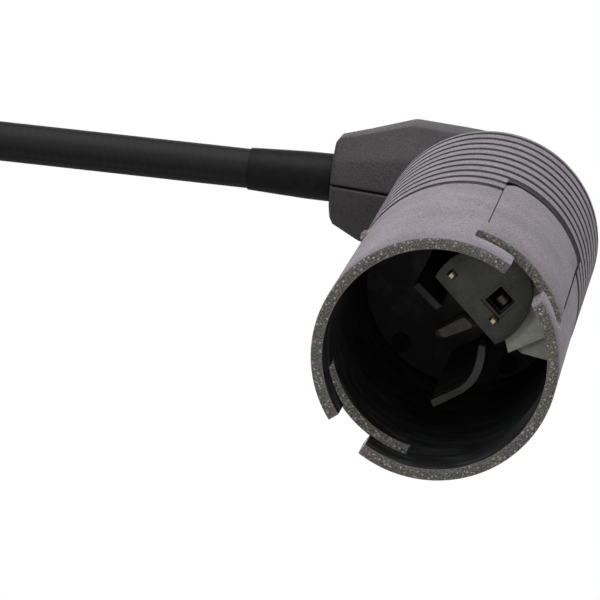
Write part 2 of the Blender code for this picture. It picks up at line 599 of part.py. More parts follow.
def make_rotor():
    """Everything that turns hangs from one empty on the spin axis."""
    axis = bpy.data.objects.new("rotor_axis", None)
    axis.location = (HEAD_X, 0, ROTOR_Z)
    bpy.context.scene.collection.objects.link(axis)
    drop = Matrix.Translation((0, 0, -ROTOR_Z))
    turned = dict(matrix=drop, parent=axis)
    lathe("rotor_shaft", [(0, 95.3 * MM), (SHAFT_R, 95.3 * MM), (SHAFT_R, 140.2 * MM), (0, 140.2 * MM)],
          STEEL, 20, closed=False, **turned)
    lathe("race_spacer", [(RACE_R, 120.3 * MM), (3.2 * MM, 120.3 * MM), (3.2 * MM, 129.4 * MM),
                          (RACE_R, 129.4 * MM)], STEEL, 20, **turned)
    lathe("shaft_clip", [(RACE_R, 133.5 * MM), (3.8 * MM, 133.5 * MM), (3.8 * MM, 134.0 * MM),
                         (RACE_R, 134.0 * MM)], STEEL, 20, **turned)
    lathe("magnet_ring", [(RACE_R, 136.6 * MM), (5 * MM, 136.6 * MM), (5 * MM, 139.4 * MM),
                          (RACE_R, 139.4 * MM)], MAGNET, 20, **turned)
    hub = lathe("rotor_hub", [(r * MM, z * MM) for r, z in (
        (2.3, 100), (8.5, 100), (10.5, 102), (10.5, 110), (11.6, 112), (11.6, 121.5), (9.6, 121.5),
        (9.6, 112.4), (3.4, 112.4), (3.4, 116.2), (2.3, 116.2))], BLACK_MOULD, 28, **turned)
    lathe("hub_washer", [(RACE_R, 99.1 * MM), (4.5 * MM, 99.1 * MM), (4.5 * MM, 99.7 * MM),
                         (RACE_R, 99.7 * MM)], STEEL, 20, **turned)
    nut = extruded("hub_nut", arc(4.0 * MM, 0, math.tau * 5 / 6, 5), 95.9 * MM, 98.8 * MM, STEEL, **turned)
    boolean(nut, rod("nut_hole", RACE_R, (0, 0, -12 * MM), (0, 0, -6 * MM), None, 20, parent=axis))
    for number in range(CUP_COUNT):
        make_cup(number + 1, axis, hub)


def make_cup(number, axis, hub):
    """One cup and its arm rod; local X points out along the rod and the mouth faces local Y."""
    turn = Matrix.Rotation((number - 1) * math.tau / CUP_COUNT, 4, "Z")

    def bar(name, radius, start, end, finish, steps):
        return rod(name, radius, (start, 0, 0), (end, 0, 0), finish, steps, frame=turn, parent=axis)

    boolean(hub, bar(f"hub_socket_{number}", ARM_ROD_R + GAP, 5.6 * MM, 13 * MM, None, 12))
    bar(f"cup_arm_{number}", ARM_ROD_R, 5.9 * MM, 21.9 * MM, STEEL, 16)
    facing = turn @ Matrix.Translation((CUP_CENTRE, 0, 0)) @ Matrix.Rotation(-math.pi / 2, 4, "X")
    cup = lathe(f"cup_{number}", cup_profile(CUP_R, CUP_DEPTH, CUP_MOUTH), BLACK_MOULD, 24,
                closed=False, matrix=facing, parent=axis)
    boolean(cup, bar(f"cup_boss_{number}", 3.3 * MM, 17.5 * MM, 26 * MM, None, 14), "UNION")
    hollow = cup_profile(CUP_R - CUP_WALL, CUP_DEPTH - CUP_WALL, CUP_MOUTH)
    hollow[0:1] = [(0, CUP_MOUTH + 3 * MM), (CUP_R - CUP_WALL, CUP_MOUTH + 3 * MM)]
    boolean(cup, lathe(f"cup_hollow_{number}", hollow, None, 24, closed=False, matrix=facing, parent=axis))
    boolean(cup, bar(f"cup_socket_{number}", ARM_ROD_R + GAP, 16 * MM, 22.2 * MM, None, 12))


clear_scene()
make_barrel()
make_latch()
make_contacts()
make_rear_cap()
make_elbow()
make_arm()
make_cable()
make_head()
make_bearings()
make_rotor()
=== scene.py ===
"""Looks of the masthead cup anemometer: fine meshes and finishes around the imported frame."""
import json
import math

import bmesh
import bpy
from mathutils import Matrix, Vector, noise


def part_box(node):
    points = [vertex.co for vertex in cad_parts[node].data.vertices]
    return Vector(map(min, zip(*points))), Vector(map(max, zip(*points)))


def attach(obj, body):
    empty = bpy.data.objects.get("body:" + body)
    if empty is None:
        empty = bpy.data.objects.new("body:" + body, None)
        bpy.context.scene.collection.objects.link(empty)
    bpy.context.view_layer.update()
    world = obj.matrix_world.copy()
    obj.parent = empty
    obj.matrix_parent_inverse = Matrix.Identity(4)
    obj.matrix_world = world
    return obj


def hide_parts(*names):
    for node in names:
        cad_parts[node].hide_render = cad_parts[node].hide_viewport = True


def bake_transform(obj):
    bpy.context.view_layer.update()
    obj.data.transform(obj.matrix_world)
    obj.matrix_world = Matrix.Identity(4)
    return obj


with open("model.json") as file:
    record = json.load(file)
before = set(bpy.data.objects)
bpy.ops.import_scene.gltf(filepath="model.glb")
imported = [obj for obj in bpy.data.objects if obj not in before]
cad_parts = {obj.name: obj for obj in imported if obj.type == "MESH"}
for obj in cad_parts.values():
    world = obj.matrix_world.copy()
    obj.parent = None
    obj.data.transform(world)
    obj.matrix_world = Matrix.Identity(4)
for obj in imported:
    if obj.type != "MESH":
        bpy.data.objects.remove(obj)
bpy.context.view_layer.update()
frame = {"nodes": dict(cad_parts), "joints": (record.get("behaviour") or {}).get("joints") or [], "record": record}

MM = 0.001
RECORD = frame["record"]
MOUNTS = {mount["name"]: mount for mount in RECORD["mounts"]}
JOINTS = {joint["name"]: joint for joint in frame["joints"]}
SUPPORT, LATCH, ROTOR = "support", "latch", "rotor"

# ---------------------------------------------------------------- sizes read from the frame
BORE_R = MOUNTS["bayonet_socket"]["dims"]["r_mm"] * MM
BARREL_R = 2 * Vector(MOUNTS["mouth_rim"]["pos_m"]).length - BORE_R
RIB_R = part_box("foot_barrel")[1].x
BARREL_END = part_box("foot_barrel")[1].z
SLOT_END = MOUNTS["slot_bearing_face"]["pos_m"][2]
LATCH_PIVOT = Vector(JOINTS["latch_flex"]["pos_m"])
KEY = math.atan2(LATCH_PIVOT.y, LATCH_PIVOT.x)
TONGUE_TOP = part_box("latch_tongue")[1].z
SPIN_X = JOINTS["rotor_spin"]["pos_m"][0]
ROTOR_Z = JOINTS["rotor_spin"]["pos_m"][2]
TUBE_LOW, TUBE_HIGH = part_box("arm_tube")
ARM_Z = (TUBE_LOW.z + TUBE_HIGH.z) / 2
TUBE_R = (TUBE_HIGH.z - TUBE_LOW.z) / 2
PLATE_LOW, PLATE_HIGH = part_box("key_plate")
HEAD_LOW, HEAD_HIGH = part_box("head_body")
CAP_LOW, CAP_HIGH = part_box("head_cap")
HEAD_R = (CAP_HIGH.y - CAP_LOW.y) / 2
BOSS_END = HEAD_HIGH.x
SHAFT_LOW, SHAFT_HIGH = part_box("rotor_shaft")

# ---------------------------------------------------------------- sizes of the foot's details
LIP = 6.6 * MM
LIP_INSET = 0.1 * MM
SLOT_HALF = 31.2
SLOT_SPREAD = 1.06
ENTRY_HALF = 10.3
WINDOW_ACROSS = (-9.5 * MM, 9.75 * MM)
WINDOW_TOP = 60.6 * MM
WINDOW_CORNER = 1.6 * MM
ROOT = 20.0 * MM
TONGUE_ACROSS = (-9.34 * MM, 9.42 * MM)
TONGUE_SINK = 0.1 * MM
TONGUE_CUT = 3.2 * MM
GROOVE_FIRST = 49.4 * MM
GROOVE_PITCH = 5.35 * MM
GROOVE_COUNT = 10
GROOVE_HALF = 1.0 * MM
GROOVE_DEPTH = 0.75 * MM
RIB_START = 0.12 * MM
RIM_EDGE = 0.12 * MM
PLATE_CENTRE = (8.2 * MM, -0.8 * MM)
PLATE_RADII = (9.0 * MM, 8.1 * MM)
PLATE_EDGE = 4.85 * MM
PIN_PLACES = ((7.3 * MM, -6.8 * MM), (7.45 * MM, 3.44 * MM))
HOLE_PLACE = (10.3 * MM, 1.75 * MM)
ELBOW_SCREWS = ((-22.0, 8.3), (-22.0, -8.3), (1.6, 9.1), (5.4, -32.6))
POST_R = 9.2 * MM
CAP_SCREW_R = 13.0 * MM
CUP_CENTRE = 38.0 * MM
CUP_R = 17.0 * MM
CUP_DEPTH = 22.0 * MM
CUP_MOUTH = 9.0 * MM
CUP_WALL = 1.2 * MM
ROD_R = 1.8 * MM
SLOT_CORNER_NEAR, SLOT_CORNER_FAR = 0.9 * MM, 0.45 * MM
NUB_AZIMUTH = math.radians(-148)
NUB_Z = 40 * MM
NECK_R = 12.0 * MM
SOCKET_GAP = 0.3 * MM
GRUB_PLACES = (SPIN_X + 21 * MM, SPIN_X + 27 * MM)
HEAD_ROOM_R, HEAD_ROOM_FLOOR = 11.5 * MM, 134 * MM
SHAFT_BORE_R = 4.8 * MM
REAR_CAP_R = 17.95 * MM
SEAL_SEAT_R = 16.2 * MM
SKY_LOW, SKY_HIGH = 0.05, 0.55

U = Vector((math.cos(KEY), math.sin(KEY), 0))
V = Vector((-math.sin(KEY), math.cos(KEY), 0))
UP = Vector((0, 0, 1))
HEAD = Matrix.Translation((SPIN_X, 0, 0))


# ---------------------------------------------------------------- finishes
def linear(code):
    """Linear RGBA of an sRGB hex colour."""
    channels = [int(code[k:k + 2], 16) / 255 for k in (0, 2, 4)]
    return [c / 12.92 if c <= 0.04045 else ((c + 0.055) / 1.055) ** 2.4 for c in channels] + [1.0]


def node(tree, kind, links=None, **settings):
    """Adds a node. Lower-case settings are its properties, the others its inputs; links feed inputs."""
    made = tree.nodes.new(kind)
    for name, value in settings.items():
        if name[0].islower():
            setattr(made, name, value)
    inputs = {socket.name: socket for socket in reversed(made.inputs) if socket.enabled}
    for name, value in settings.items():
        if not name[0].islower():
            inputs[name.replace("_", " ")].default_value = value
    for name, source in (links or {}).items():
        tree.links.new(source, inputs[name])
    return next(socket for socket in made.outputs if socket.enabled)


def finish(name, **sockets):
    """A new material: its tree, its Principled shader and the place on the piece in metres."""
    made = bpy.data.materials.new(name)
    made.use_nodes = True
    tree = made.node_tree
    shader = tree.nodes["Principled BSDF"]
    for socket, value in sockets.items():
        shader.inputs[socket.replace("_", " ")].default_value = value
    place = tree.nodes.new("ShaderNodeTexCoord").outputs["Object"]
    return made, tree, shader, place


def sintered_nylon(name, deep, light, speck, roughness=0.72):
    """Laser-sintered nylon 12, dyed and bead blasted: matt, finely grained, with stray bright crystals."""
    made, tree, shader, place = finish(name, Roughness=roughness, IOR=1.53)
    # powder grains are 0.06 mm; drawn 0.3 mm wide, because finer ones don't show
    grain = node(tree, "ShaderNodeTexNoise", {"Vector": place}, Scale=1 / (0.34 * MM), Detail=2.0)
    cloud = node(tree, "ShaderNodeTexNoise", {"Vector": place}, Scale=1 / (9 * MM), Detail=3.0)
    both = node(tree, "ShaderNodeMix", {"A": grain, "B": cloud}, data_type="FLOAT", Factor=0.3)
    tone = node(tree, "ShaderNodeMapRange", {"Value": both}, From_Min=0.41, From_Max=0.59)
    body = node(tree, "ShaderNodeMix", {"Factor": tone}, data_type="RGBA", A=linear(deep), B=linear(light))
    spots = node(tree, "ShaderNodeTexVoronoi", {"Vector": place}, Scale=1 / (6 * MM))
    bright = node(tree, "ShaderNodeMapRange", {"Value": spots}, From_Min=0.03, From_Max=0.018)
    colour = node(tree, "ShaderNodeMix", {"Factor": bright, "A": body}, data_type="RGBA", B=linear(speck))
    tree.links.new(colour, shader.inputs["Base Color"])
    # build layers are 0.1 mm apart; drawn 0.7 mm apart, because finer ones don't show
    layers = node(tree, "ShaderNodeTexWave", {"Vector": place}, bands_direction="Z",
                  Scale=1 / (2 * math.pi * 0.35 * MM), Distortion=1.5, Detail=1.0)
    height = node(tree, "ShaderNodeMix", {"A": grain, "B": layers}, data_type="FLOAT", Factor=0.08)
    bump = node(tree, "ShaderNodeBump", {"Height": height}, Strength=0.9, Distance=0.16 * MM)
    tree.links.new(bump, shader.inputs["Normal"])
    return made


def nylon_edge_painted_light(name, deep, light):
    """Cut edge of sintered nylon: open sugary grain, painted near black in its low pits as shade, with painted
    glints on its facets.
    """
    made, tree, shader, place = finish(name, Roughness=0.5, IOR=1.53)
    # powder grains are 0.06 mm; drawn 0.26 mm wide, because finer ones don't show
    grain = node(tree, "ShaderNodeTexNoise", {"Vector": place}, Scale=1 / (0.26 * MM), Detail=4.0,
                 Roughness=0.7)
    patch = node(tree, "ShaderNodeTexNoise", {"Vector": place}, Scale=1 / (2.4 * MM), Detail=2.0)
    # the grain's tone runs from near black in its low pits, painted shade, to pale grey on its tops
    tone = node(tree, "ShaderNodeMapRange", {"Value": grain}, From_Min=0.42, From_Max=0.64)
    body = node(tree, "ShaderNodeMix", {"Factor": tone}, data_type="RGBA", A=linear(deep), B=linear(light))
    # bright spots on the facets, shown in patches, are painted glints
    facets = node(tree, "ShaderNodeTexVoronoi", {"Vector": place}, Scale=1 / (0.62 * MM))
    painted_glint = node(tree, "ShaderNodeMapRange", {"Value": facets}, From_Min=0.34, From_Max=0.18)
    lit = node(tree, "ShaderNodeMix", {"Factor": patch, "B": painted_glint}, data_type="FLOAT", A=0.1)
    colour = node(tree, "ShaderNodeMix", {"Factor": lit, "A": body}, data_type="RGBA", B=linear("f2efe6"))
    tree.links.new(colour, shader.inputs["Base Color"])
    bump = node(tree, "ShaderNodeBump", {"Height": grain}, Strength=0.9, Distance=0.3 * MM)
    tree.links.new(bump, shader.inputs["Normal"])
    return made


def bore_black_and_shade():
    """Inside of the dyed barrel: painted nearly black as the deep shade in the bore, smoothed by the stub, with
    faint turning scuffs; the black insert parts share it.
    """
    made, tree, shader, place = finish("sintered_nylon_bore_black_and_painted_shade", Roughness=0.55, IOR=1.5)
    stretch = node(tree, "ShaderNodeMapping", {"Vector": place}, Scale=(0.12, 0.12, 1.0))
    scuff = node(tree, "ShaderNodeTexNoise", {"Vector": stretch}, Scale=1 / (0.8 * MM), Detail=3.0)
    tone = node(tree, "ShaderNodeMapRange", {"Value": scuff}, From_Min=0.48, From_Max=0.66)
    colour = node(tree, "ShaderNodeMix", {"Factor": tone}, data_type="RGBA",
                  A=linear("1c1e1d"), B=linear("4c504e"))
    tree.links.new(colour, shader.inputs["Base Color"])
    bump = node(tree, "ShaderNodeBump", {"Height": scuff}, Strength=0.3, Distance=0.1 * MM)
    tree.links.new(bump, shader.inputs["Normal"])
    return made


def moulded_grey(name, deep, light):
    """Moulded grey plastic of the contact insert: satin, dusty, with a little clouding."""
    made, tree, shader, place = finish(name, Roughness=0.48, IOR=1.52)
    dust = node(tree, "ShaderNodeTexNoise", {"Vector": place}, Scale=1 / (3.2 * MM), Detail=4.0)
    # dust is finer than 0.1 mm; drawn 0.35 mm wide, because finer specks don't show
    fine = node(tree, "ShaderNodeTexNoise", {"Vector": place}, Scale=1 / (0.35 * MM), Detail=1.0)
    both = node(tree, "ShaderNodeMix", {"A": dust, "B": fine}, data_type="FLOAT", Factor=0.35)
    tone = node(tree, "ShaderNodeMapRange", {"Value": both}, From_Min=0.35, From_Max=0.65)
    colour = node(tree, "ShaderNodeMix", {"Factor": tone}, data_type="RGBA",
                  A=linear(deep), B=linear(light))
    tree.links.new(colour, shader.inputs["Base Color"])
    bump = node(tree, "ShaderNodeBump", {"Height": fine}, Strength=0.35, Distance=0.06 * MM)
    tree.links.new(bump, shader.inputs["Normal"])
    return made


def black_nylon():
    """Injection-moulded black glass-filled nylon: satin skin with short pale fibres just under it."""
    made, tree, shader, place = finish("moulded_black_glass_nylon", Roughness=0.4, IOR=1.53)
    stretch = node(tree, "ShaderNodeMapping", {"Vector": place}, Scale=(1.0, 1.0, 0.35))
    # glass fibres are 0.01 mm thick; drawn 0.5 mm wide, because finer ones don't show
    fibre = node(tree, "ShaderNodeTexNoise", {"Vector": stretch}, Scale=1 / (0.5 * MM), Detail=3.0)
    tone = node(tree, "ShaderNodeMapRange", {"Value": fibre}, From_Min=0.45, From_Max=0.75)
    colour = node(tree, "ShaderNodeMix", {"Factor": tone}, data_type="RGBA",
                  A=linear("17181a"), B=linear("36373a"))
    tree.links.new(colour, shader.inputs["Base Color"])
    gloss = node(tree, "ShaderNodeMapRange", {"Value": fibre}, To_Min=0.34, To_Max=0.5)
    tree.links.new(gloss, shader.inputs["Roughness"])
    bump = node(tree, "ShaderNodeBump", {"Height": fibre}, Strength=0.2, Distance=0.05 * MM)
    tree.links.new(bump, shader.inputs["Normal"])
    return made


def turned_metal(name, deep, light, roughness, ring=0.22 * MM):
    """Turned or plated metal: fine tool rings and slight clouding in the reflection."""
    made, tree, shader, place = finish(name, Metallic=1.0, Roughness=roughness)
    # tool marks are 0.1 mm apart; drawn 0.4 mm apart, because finer ones don't show
    rings = node(tree, "ShaderNodeTexWave", {"Vector": place}, bands_direction="Z",
                 Scale=1 / (2 * math.pi * ring), Distortion=2.0, Detail=2.0)
    cloud = node(tree, "ShaderNodeTexNoise", {"Vector": place}, Scale=1 / (1.2 * MM), Detail=3.0)
    colour = node(tree, "ShaderNodeMix", {"Factor": cloud}, data_type="RGBA", A=linear(deep), B=linear(light))
    tree.links.new(colour, shader.inputs["Base Color"])
    wear = node(tree, "ShaderNodeMapRange", {"Value": cloud}, To_Min=roughness * 0.75, To_Max=roughness * 1.5)
    tree.links.new(wear, shader.inputs["Roughness"])
    bump = node(tree, "ShaderNodeBump", {"Height": rings}, Strength=0.15, Distance=0.02 * MM)
    tree.links.new(bump, shader.inputs["Normal"])
    return made


def wrapped_carbon():
    """Wrapped carbon tube, ground after curing: black twill under a satin resin skin."""
    made, tree, shader, place = finish("wrapped_carbon_ground_satin", Roughness=0.58, IOR=1.5,
                                       Specular_IOR_Level=0.2)
    # tows cross at 45 degrees; their bands are drawn 1.2 mm apart
    turn = node(tree, "ShaderNodeMapping", {"Vector": place}, Rotation=(0.3, 0.0, math.pi / 4))
    warp = node(tree, "ShaderNodeTexWave", {"Vector": turn}, bands_direction="X",
                Scale=1 / (2 * math.pi * 0.6 * MM), Distortion=0.6)
    weft = node(tree, "ShaderNodeTexWave", {"Vector": turn}, bands_direction="Z",
                Scale=1 / (2 * math.pi * 0.6 * MM), Distortion=0.6)
    cross = node(tree, "ShaderNodeMix", {"Factor": warp, "A": weft}, data_type="FLOAT", B=0.5)
    colour = node(tree, "ShaderNodeMix", {"Factor": cross}, data_type="RGBA",
                  A=linear("161617"), B=linear("262628"))
    tree.links.new(colour, shader.inputs["Base Color"])
    orange = node(tree, "ShaderNodeTexNoise", {"Vector": place}, Scale=1 / (1.5 * MM), Detail=2.0)
    bump = node(tree, "ShaderNodeBump", {"Height": orange}, Strength=0.1, Distance=0.05 * MM)
    tree.links.new(bump, shader.inputs["Normal"])
    return made


def nitrile_rubber():
    """Moulded nitrile rubber: soft black with a dusty bloom."""
    made, tree, shader, place = finish("moulded_nitrile_rubber", Roughness=0.6, IOR=1.52,
                                       Specular_IOR_Level=0.2)
    bloom = node(tree, "ShaderNodeTexNoise", {"Vector": place}, Scale=1 / (1.4 * MM), Detail=4.0)
    tone = node(tree, "ShaderNodeMapRange", {"Value": bloom}, From_Min=0.4, From_Max=0.8)
    colour = node(tree, "ShaderNodeMix", {"Factor": tone}, data_type="RGBA",
                  A=linear("0b0b0c"), B=linear("19191b"))
    tree.links.new(colour, shader.inputs["Base Color"])
    bump = node(tree, "ShaderNodeBump", {"Height": bloom}, Strength=0.25, Distance=0.08 * MM)
    tree.links.new(bump, shader.inputs["Normal"])
    return made


def masked_board():
    """Glass-epoxy board under green solder mask: the weave shows faintly through the gloss."""
    made, tree, shader, place = finish("solder_masked_glass_epoxy", Roughness=0.3, IOR=1.55)
    weave = node(tree, "ShaderNodeTexWave", {"Vector": place}, bands_direction="X",
                 Scale=1 / (2 * math.pi * 0.25 * MM), Distortion=0.5)
    colour = node(tree, "ShaderNodeMix", {"Factor": weave}, data_type="RGBA",
                  A=linear("0d3a20"), B=linear("15502d"))
    tree.links.new(colour, shader.inputs["Base Color"])
    bump = node(tree, "ShaderNodeBump", {"Height": weave}, Strength=0.1, Distance=0.03 * MM)
    tree.links.new(bump, shader.inputs["Normal"])
    return made


SLEEVE = sintered_nylon("sintered_nylon_blasted_grey", "6a636b", "8b838b", "e4dde2")
# darker copy of the sleeve's nylon for the groove floors: painted shade in the grooves
GROOVE = sintered_nylon("sintered_nylon_groove_painted_shade", "353036", "4a444a", "7a747a")
EDGE_PAINTED_LIGHT = nylon_edge_painted_light("sintered_nylon_edge_painted_glints_and_shade", "050505", "96918a")
BORE = bore_black_and_shade()
DARK = sintered_nylon("sintered_nylon_dyed_dark", "312d30", "433f42", "6c686c")
MOULDED = moulded_grey("moulded_grey_plastic_dusty", "2c2d2a", "4e4f49")
PALE_MOULDED = moulded_grey("moulded_grey_plastic_bare", "a9aaa0", "d2d3c8")
GLASS_NYLON = black_nylon()
STEEL = turned_metal("turned_stainless_steel", "a9a8a4", "cfcdc8", 0.28)
GOLD = turned_metal("gold_plated_brass", "fbe2ac", "fff6e2", 0.6)
SPRING = turned_metal("rolled_spring_steel", "4a4844", "6f6c66", 0.45)
DIM_MOULDED = moulded_grey("moulded_grey_plastic_rough", "1f1e1a", "45423a")
NICKEL = turned_metal("nickel_plated_magnet", "b5ad9a", "d8d0bc", 0.25)
# steel darkened to near black: painted shade on the carrier screws deep in the bore
STEEL_PAINTED_SHADE = turned_metal("steel_darkened_painted_shade", "1b1b1a", "2e2d2b", 0.5)
CARBON = wrapped_carbon()
RUBBER = nitrile_rubber()
BOARD = masked_board()
NODE_FINISHES = {
    "sintered_nylon_grey": SLEEVE, "sintered_nylon_dark": DARK, "moulded_grey_plastic": MOULDED,
    "black_plastic": GLASS_NYLON, "stainless_steel": STEEL, "gold_plate": GOLD, "circuit_board": BOARD,
    "rubber": RUBBER, "nickel_magnet": NICKEL, "carbon_tube": CARBON, "cable_jacket": RUBBER,
}
# the carrier and guide bar take the bore's near black finish; the carrier screws take the darkened steel, painted
# shade
INSERT_FINISHES = {
    "contact_carrier": BORE, "guide_bar": BORE,
    "carrier_screw_1": STEEL_PAINTED_SHADE, "carrier_screw_2": STEEL_PAINTED_SHADE, "carrier_screw_3": STEEL_PAINTED_SHADE,
}


# ---------------------------------------------------------------- mesh making
def piece(name, bm, finishes, body, nodes=(), crease=34):
    """Turns a bmesh into a shown piece that rides on a body and stands for its nodes."""
    bmesh.ops.remove_doubles(bm, verts=bm.verts, dist=1e-7)
    bmesh.ops.recalc_face_normals(bm, faces=bm.faces)
    mesh = bpy.data.meshes.new(name)
    bm.to_mesh(mesh)
    bm.free()
    mesh.shade_smooth()
    mesh.set_sharp_from_angle(angle=math.radians(crease))
    for each in finishes:
        mesh.materials.append(each)
    made = bpy.data.objects.new(name, mesh)
    bpy.context.scene.collection.objects.link(made)
    if body:
        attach(made, body)
    if nodes:
        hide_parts(*nodes)
    return made


def carve(target, tool, operation="DIFFERENCE"):
    """Cuts or joins a tool mesh into the target and removes the tool."""
    cut = target.modifiers.new("cut", "BOOLEAN")
    cut.operation = operation
    cut.solver = "EXACT"
    cut.object = tool
    bpy.context.view_layer.update()
    carved = bpy.data.meshes.new_from_object(target.evaluated_get(bpy.context.evaluated_depsgraph_get()))
    target.modifiers.clear()
    target.data = carved
    bpy.data.objects.remove(tool)


def soften(target, width, crease=34):
    """Rounds every crease of a finished mesh and shades it again."""
    edge = target.modifiers.new("edge", "BEVEL")
    edge.width = width
    edge.segments = 2
    edge.limit_method = "ANGLE"
    edge.angle_limit = math.radians(crease)
    edge.use_clamp_overlap = True
    bpy.context.view_layer.update()
    rounded_mesh = bpy.data.meshes.new_from_object(
        target.evaluated_get(bpy.context.evaluated_depsgraph_get()))
    target.modifiers.clear()
    target.data = rounded_mesh
    rounded_mesh.shade_smooth()
    rounded_mesh.set_sharp_from_angle(angle=math.radians(crease))


def join(bm, low, high):
    """Faces between two rings of vertices; a ring may be a single point."""
    count = max(len(low), len(high))
    for k in range(count):
        beyond = k + 1
        corners = [low[k % len(low)], low[beyond % len(low)], high[beyond % len(high)], high[k % len(high)]]
        distinct = list(dict.fromkeys(corners))
        if len(distinct) > 2:
            bm.faces.new(distinct)


def lofted(rings, ends=True):
    """Skin through rings of points."""
    bm = bmesh.new()
    loops = [[bm.verts.new(point) for point in ring] for ring in rings]
    for low, high in zip(loops, loops[1:]):
        join(bm, low, high)
    if ends:
        for loop in (loops[0], loops[-1]):
            if len(loop) > 2:
                bm.faces.new(loop)
    return bm


def rounded(points, reach, steps=3, closed=True):
    """An outline whose corners are replaced by small curves; points on the axis stay."""
    result = []
    last = len(points) - 1
    for index, point in enumerate(points):
        corner = Vector(point)
        before = Vector(points[index - 1]) - corner
        after = Vector(points[(index + 1) % len(points)]) - corner
        if corner.x == 0 or (not closed and index in (0, last)):
            result.append(corner)
            continue
        size = min(reach, before.length * 0.45, after.length * 0.45)
        start = before.normalized() * size
        end = after.normalized() * size
        for step in range(steps + 1):
            t = step / steps
            result.append(corner + start * (1 - t) ** 2 + end * t ** 2)
    return result


def turned(profile, matrix=Matrix(), steps=96, closed=False):
    """Turned solid; a profile point is (radius, height) or (radius, height, 6) for a hexagon across flats."""
    rings = []
    for point in profile:
        if point[0] < 1e-9:
            rings.append([matrix @ Vector((0, 0, point[1]))])
            continue
        ring = []
        for k in range(steps):
            angle = math.tau * k / steps
            reach = point[0]
            if len(point) > 2 and point[2] == 6:
                reach /= math.cos((angle + math.pi / 6) % (math.pi / 3) - math.pi / 6)
            ring.append(matrix @ around(reach, angle, point[1]))
        rings.append(ring)
    if closed:
        rings.append(rings[0])
    bm = bmesh.new()
    loops = [[bm.verts.new(point) for point in ring] for ring in rings]
    for low, high in zip(loops, loops[1:]):
        join(bm, low, high)
    return bm


def around(radius, angle, z=0.0):
    """Point on a circle about the Z axis."""
    return Vector((radius * math.cos(angle), radius * math.sin(angle), z))


def heights(node_name):
    """Lowest and highest Z of a node of the frame."""
    return [corner.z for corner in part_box(node_name)]


def sideways(route):
    """The points of a flat route, each with the unit vector square to the route there."""
    pairs = []
    for index, point in enumerate(route):
        ahead = Vector(route[min(index + 1, len(route) - 1)]) - Vector(route[max(index - 1, 0)])
        pairs.append((Vector(point), Vector((ahead.y, -ahead.x)).normalized()))
    return pairs


def along(start, end):
    """Matrix that carries the Z axis onto the line from start to end."""
    start = Vector(start)
    return Matrix.Translation(start) @ (Vector(end) - start).to_track_quat("Z", "Y").to_matrix().to_4x4()


def bar(radius, start, end, steps=48, edge=0.0, bore=0.0):
    """Round bar between two points with broken edges, or a tube when it has a bore."""
    length = (Vector(end) - Vector(start)).length
    outline = [(bore, 0), (radius, 0), (radius, length), (bore, length)]
    profile = rounded(outline, edge, closed=bore > 0) if edge else outline
    return turned(profile, along(start, end), steps, closed=bore > 0)


def tool(bm):
    """A bare object for carve()."""
    return piece("tool", bm, (), None)


def slab(outline, low, high):
    """Flat outline of (x, y) points raised from low to high."""
    return lofted([[Vector((x, y, low)) for x, y in outline], [Vector((x, y, high)) for x, y in outline]])


def keyed(points):
    """Points given along and across the key direction, turned into XY."""
    return [tuple((U * u + V * v)[:2]) for u, v in points]


def square(centre, side):
    """Square outline whose sides run along and across the key direction."""
    half = side / 2
    corners = ((-1, -1), (1, -1), (1, 1), (-1, 1))
    return keyed([(centre[0] + a * half, centre[1] + b * half) for a, b in corners])


def arc(radius, start, end, steps, centre=(0, 0)):
    """Points along a circular arc."""
    angles = [start + (end - start) * k / steps for k in range(steps + 1)]
    return [(centre[0] + radius * math.cos(a), centre[1] + radius * math.sin(a)) for a in angles]


def roughen(target, amount, size):
    """Moves the vertices by smooth noise, as on a broken or hand-dressed surface."""
    for vertex in target.data.vertices:
        vertex.co += noise.noise_vector(vertex.co / size) * amount
    target.data.update()


# ---------------------------------------------------------------- barrel and latch
CUT = (1, 4)
# sleeve, cut walls with painted glints, the bore's painted shade, the groove floors' painted shade, and the bore's
# painted shade again for the window's walls
BARREL_FINISHES = (SLEEVE, EDGE_PAINTED_LIGHT, BORE, GROOVE, BORE)


def groove_share(z):
    """Distance from the nearest groove's middle as a share of its half width; 1 outside the grooves."""
    nearest = min(max(round((z - GROOVE_FIRST) / GROOVE_PITCH), 0), GROOVE_COUNT - 1)
    return min(1.0, abs(z - GROOVE_FIRST - nearest * GROOVE_PITCH) / GROOVE_HALF)


def groove_radius(z):
    """Outer radius of the barrel: plain sleeve, then slightly flaring ribs between ten round grooves."""
    rise = (z - GROOVE_FIRST) / (BARREL_END - GROOVE_FIRST)
    ribs = BARREL_R + RIB_START + (RIB_R - BARREL_R - RIB_START) * max(0.0, rise)
    base = BARREL_R if z < GROOVE_FIRST else ribs
    floor = ribs - GROOVE_DEPTH
    return floor + (base - floor) * (1 - math.sqrt(1 - groove_share(z) ** 2))


def window_side(z, side):
    """Place of the window's side across the key direction, drawn in by the round corner at its top."""
    rise = max(0.0, z - WINDOW_TOP + WINDOW_CORNER)
    inward = WINDOW_CORNER - math.sqrt(max(0.0, WINDOW_CORNER ** 2 - rise ** 2))
    return WINDOW_ACROSS[side] + inward * (1 if side == 0 else -1)


def barrel_azimuth(degrees, z, radius):
    """Azimuth of a column of the barrel's grid; the columns lean to follow the window's straight sides."""
    edge = [math.degrees(math.asin(v / BARREL_R)) for v in WINDOW_ACROSS]
    if ROOT <= z <= WINDOW_TOP and degrees <= SLOT_HALF:
        if abs(degrees) >= SLOT_HALF:
            return KEY + math.radians(degrees * SLOT_SPREAD)
        if edge[0] <= degrees <= edge[1]:
            share = (degrees - edge[0]) / (edge[1] - edge[0])
            low, high = (math.asin(window_side(z, side) / radius) for side in (0, 1))
            return KEY + low + (high - low) * share
    return KEY + math.radians(degrees)


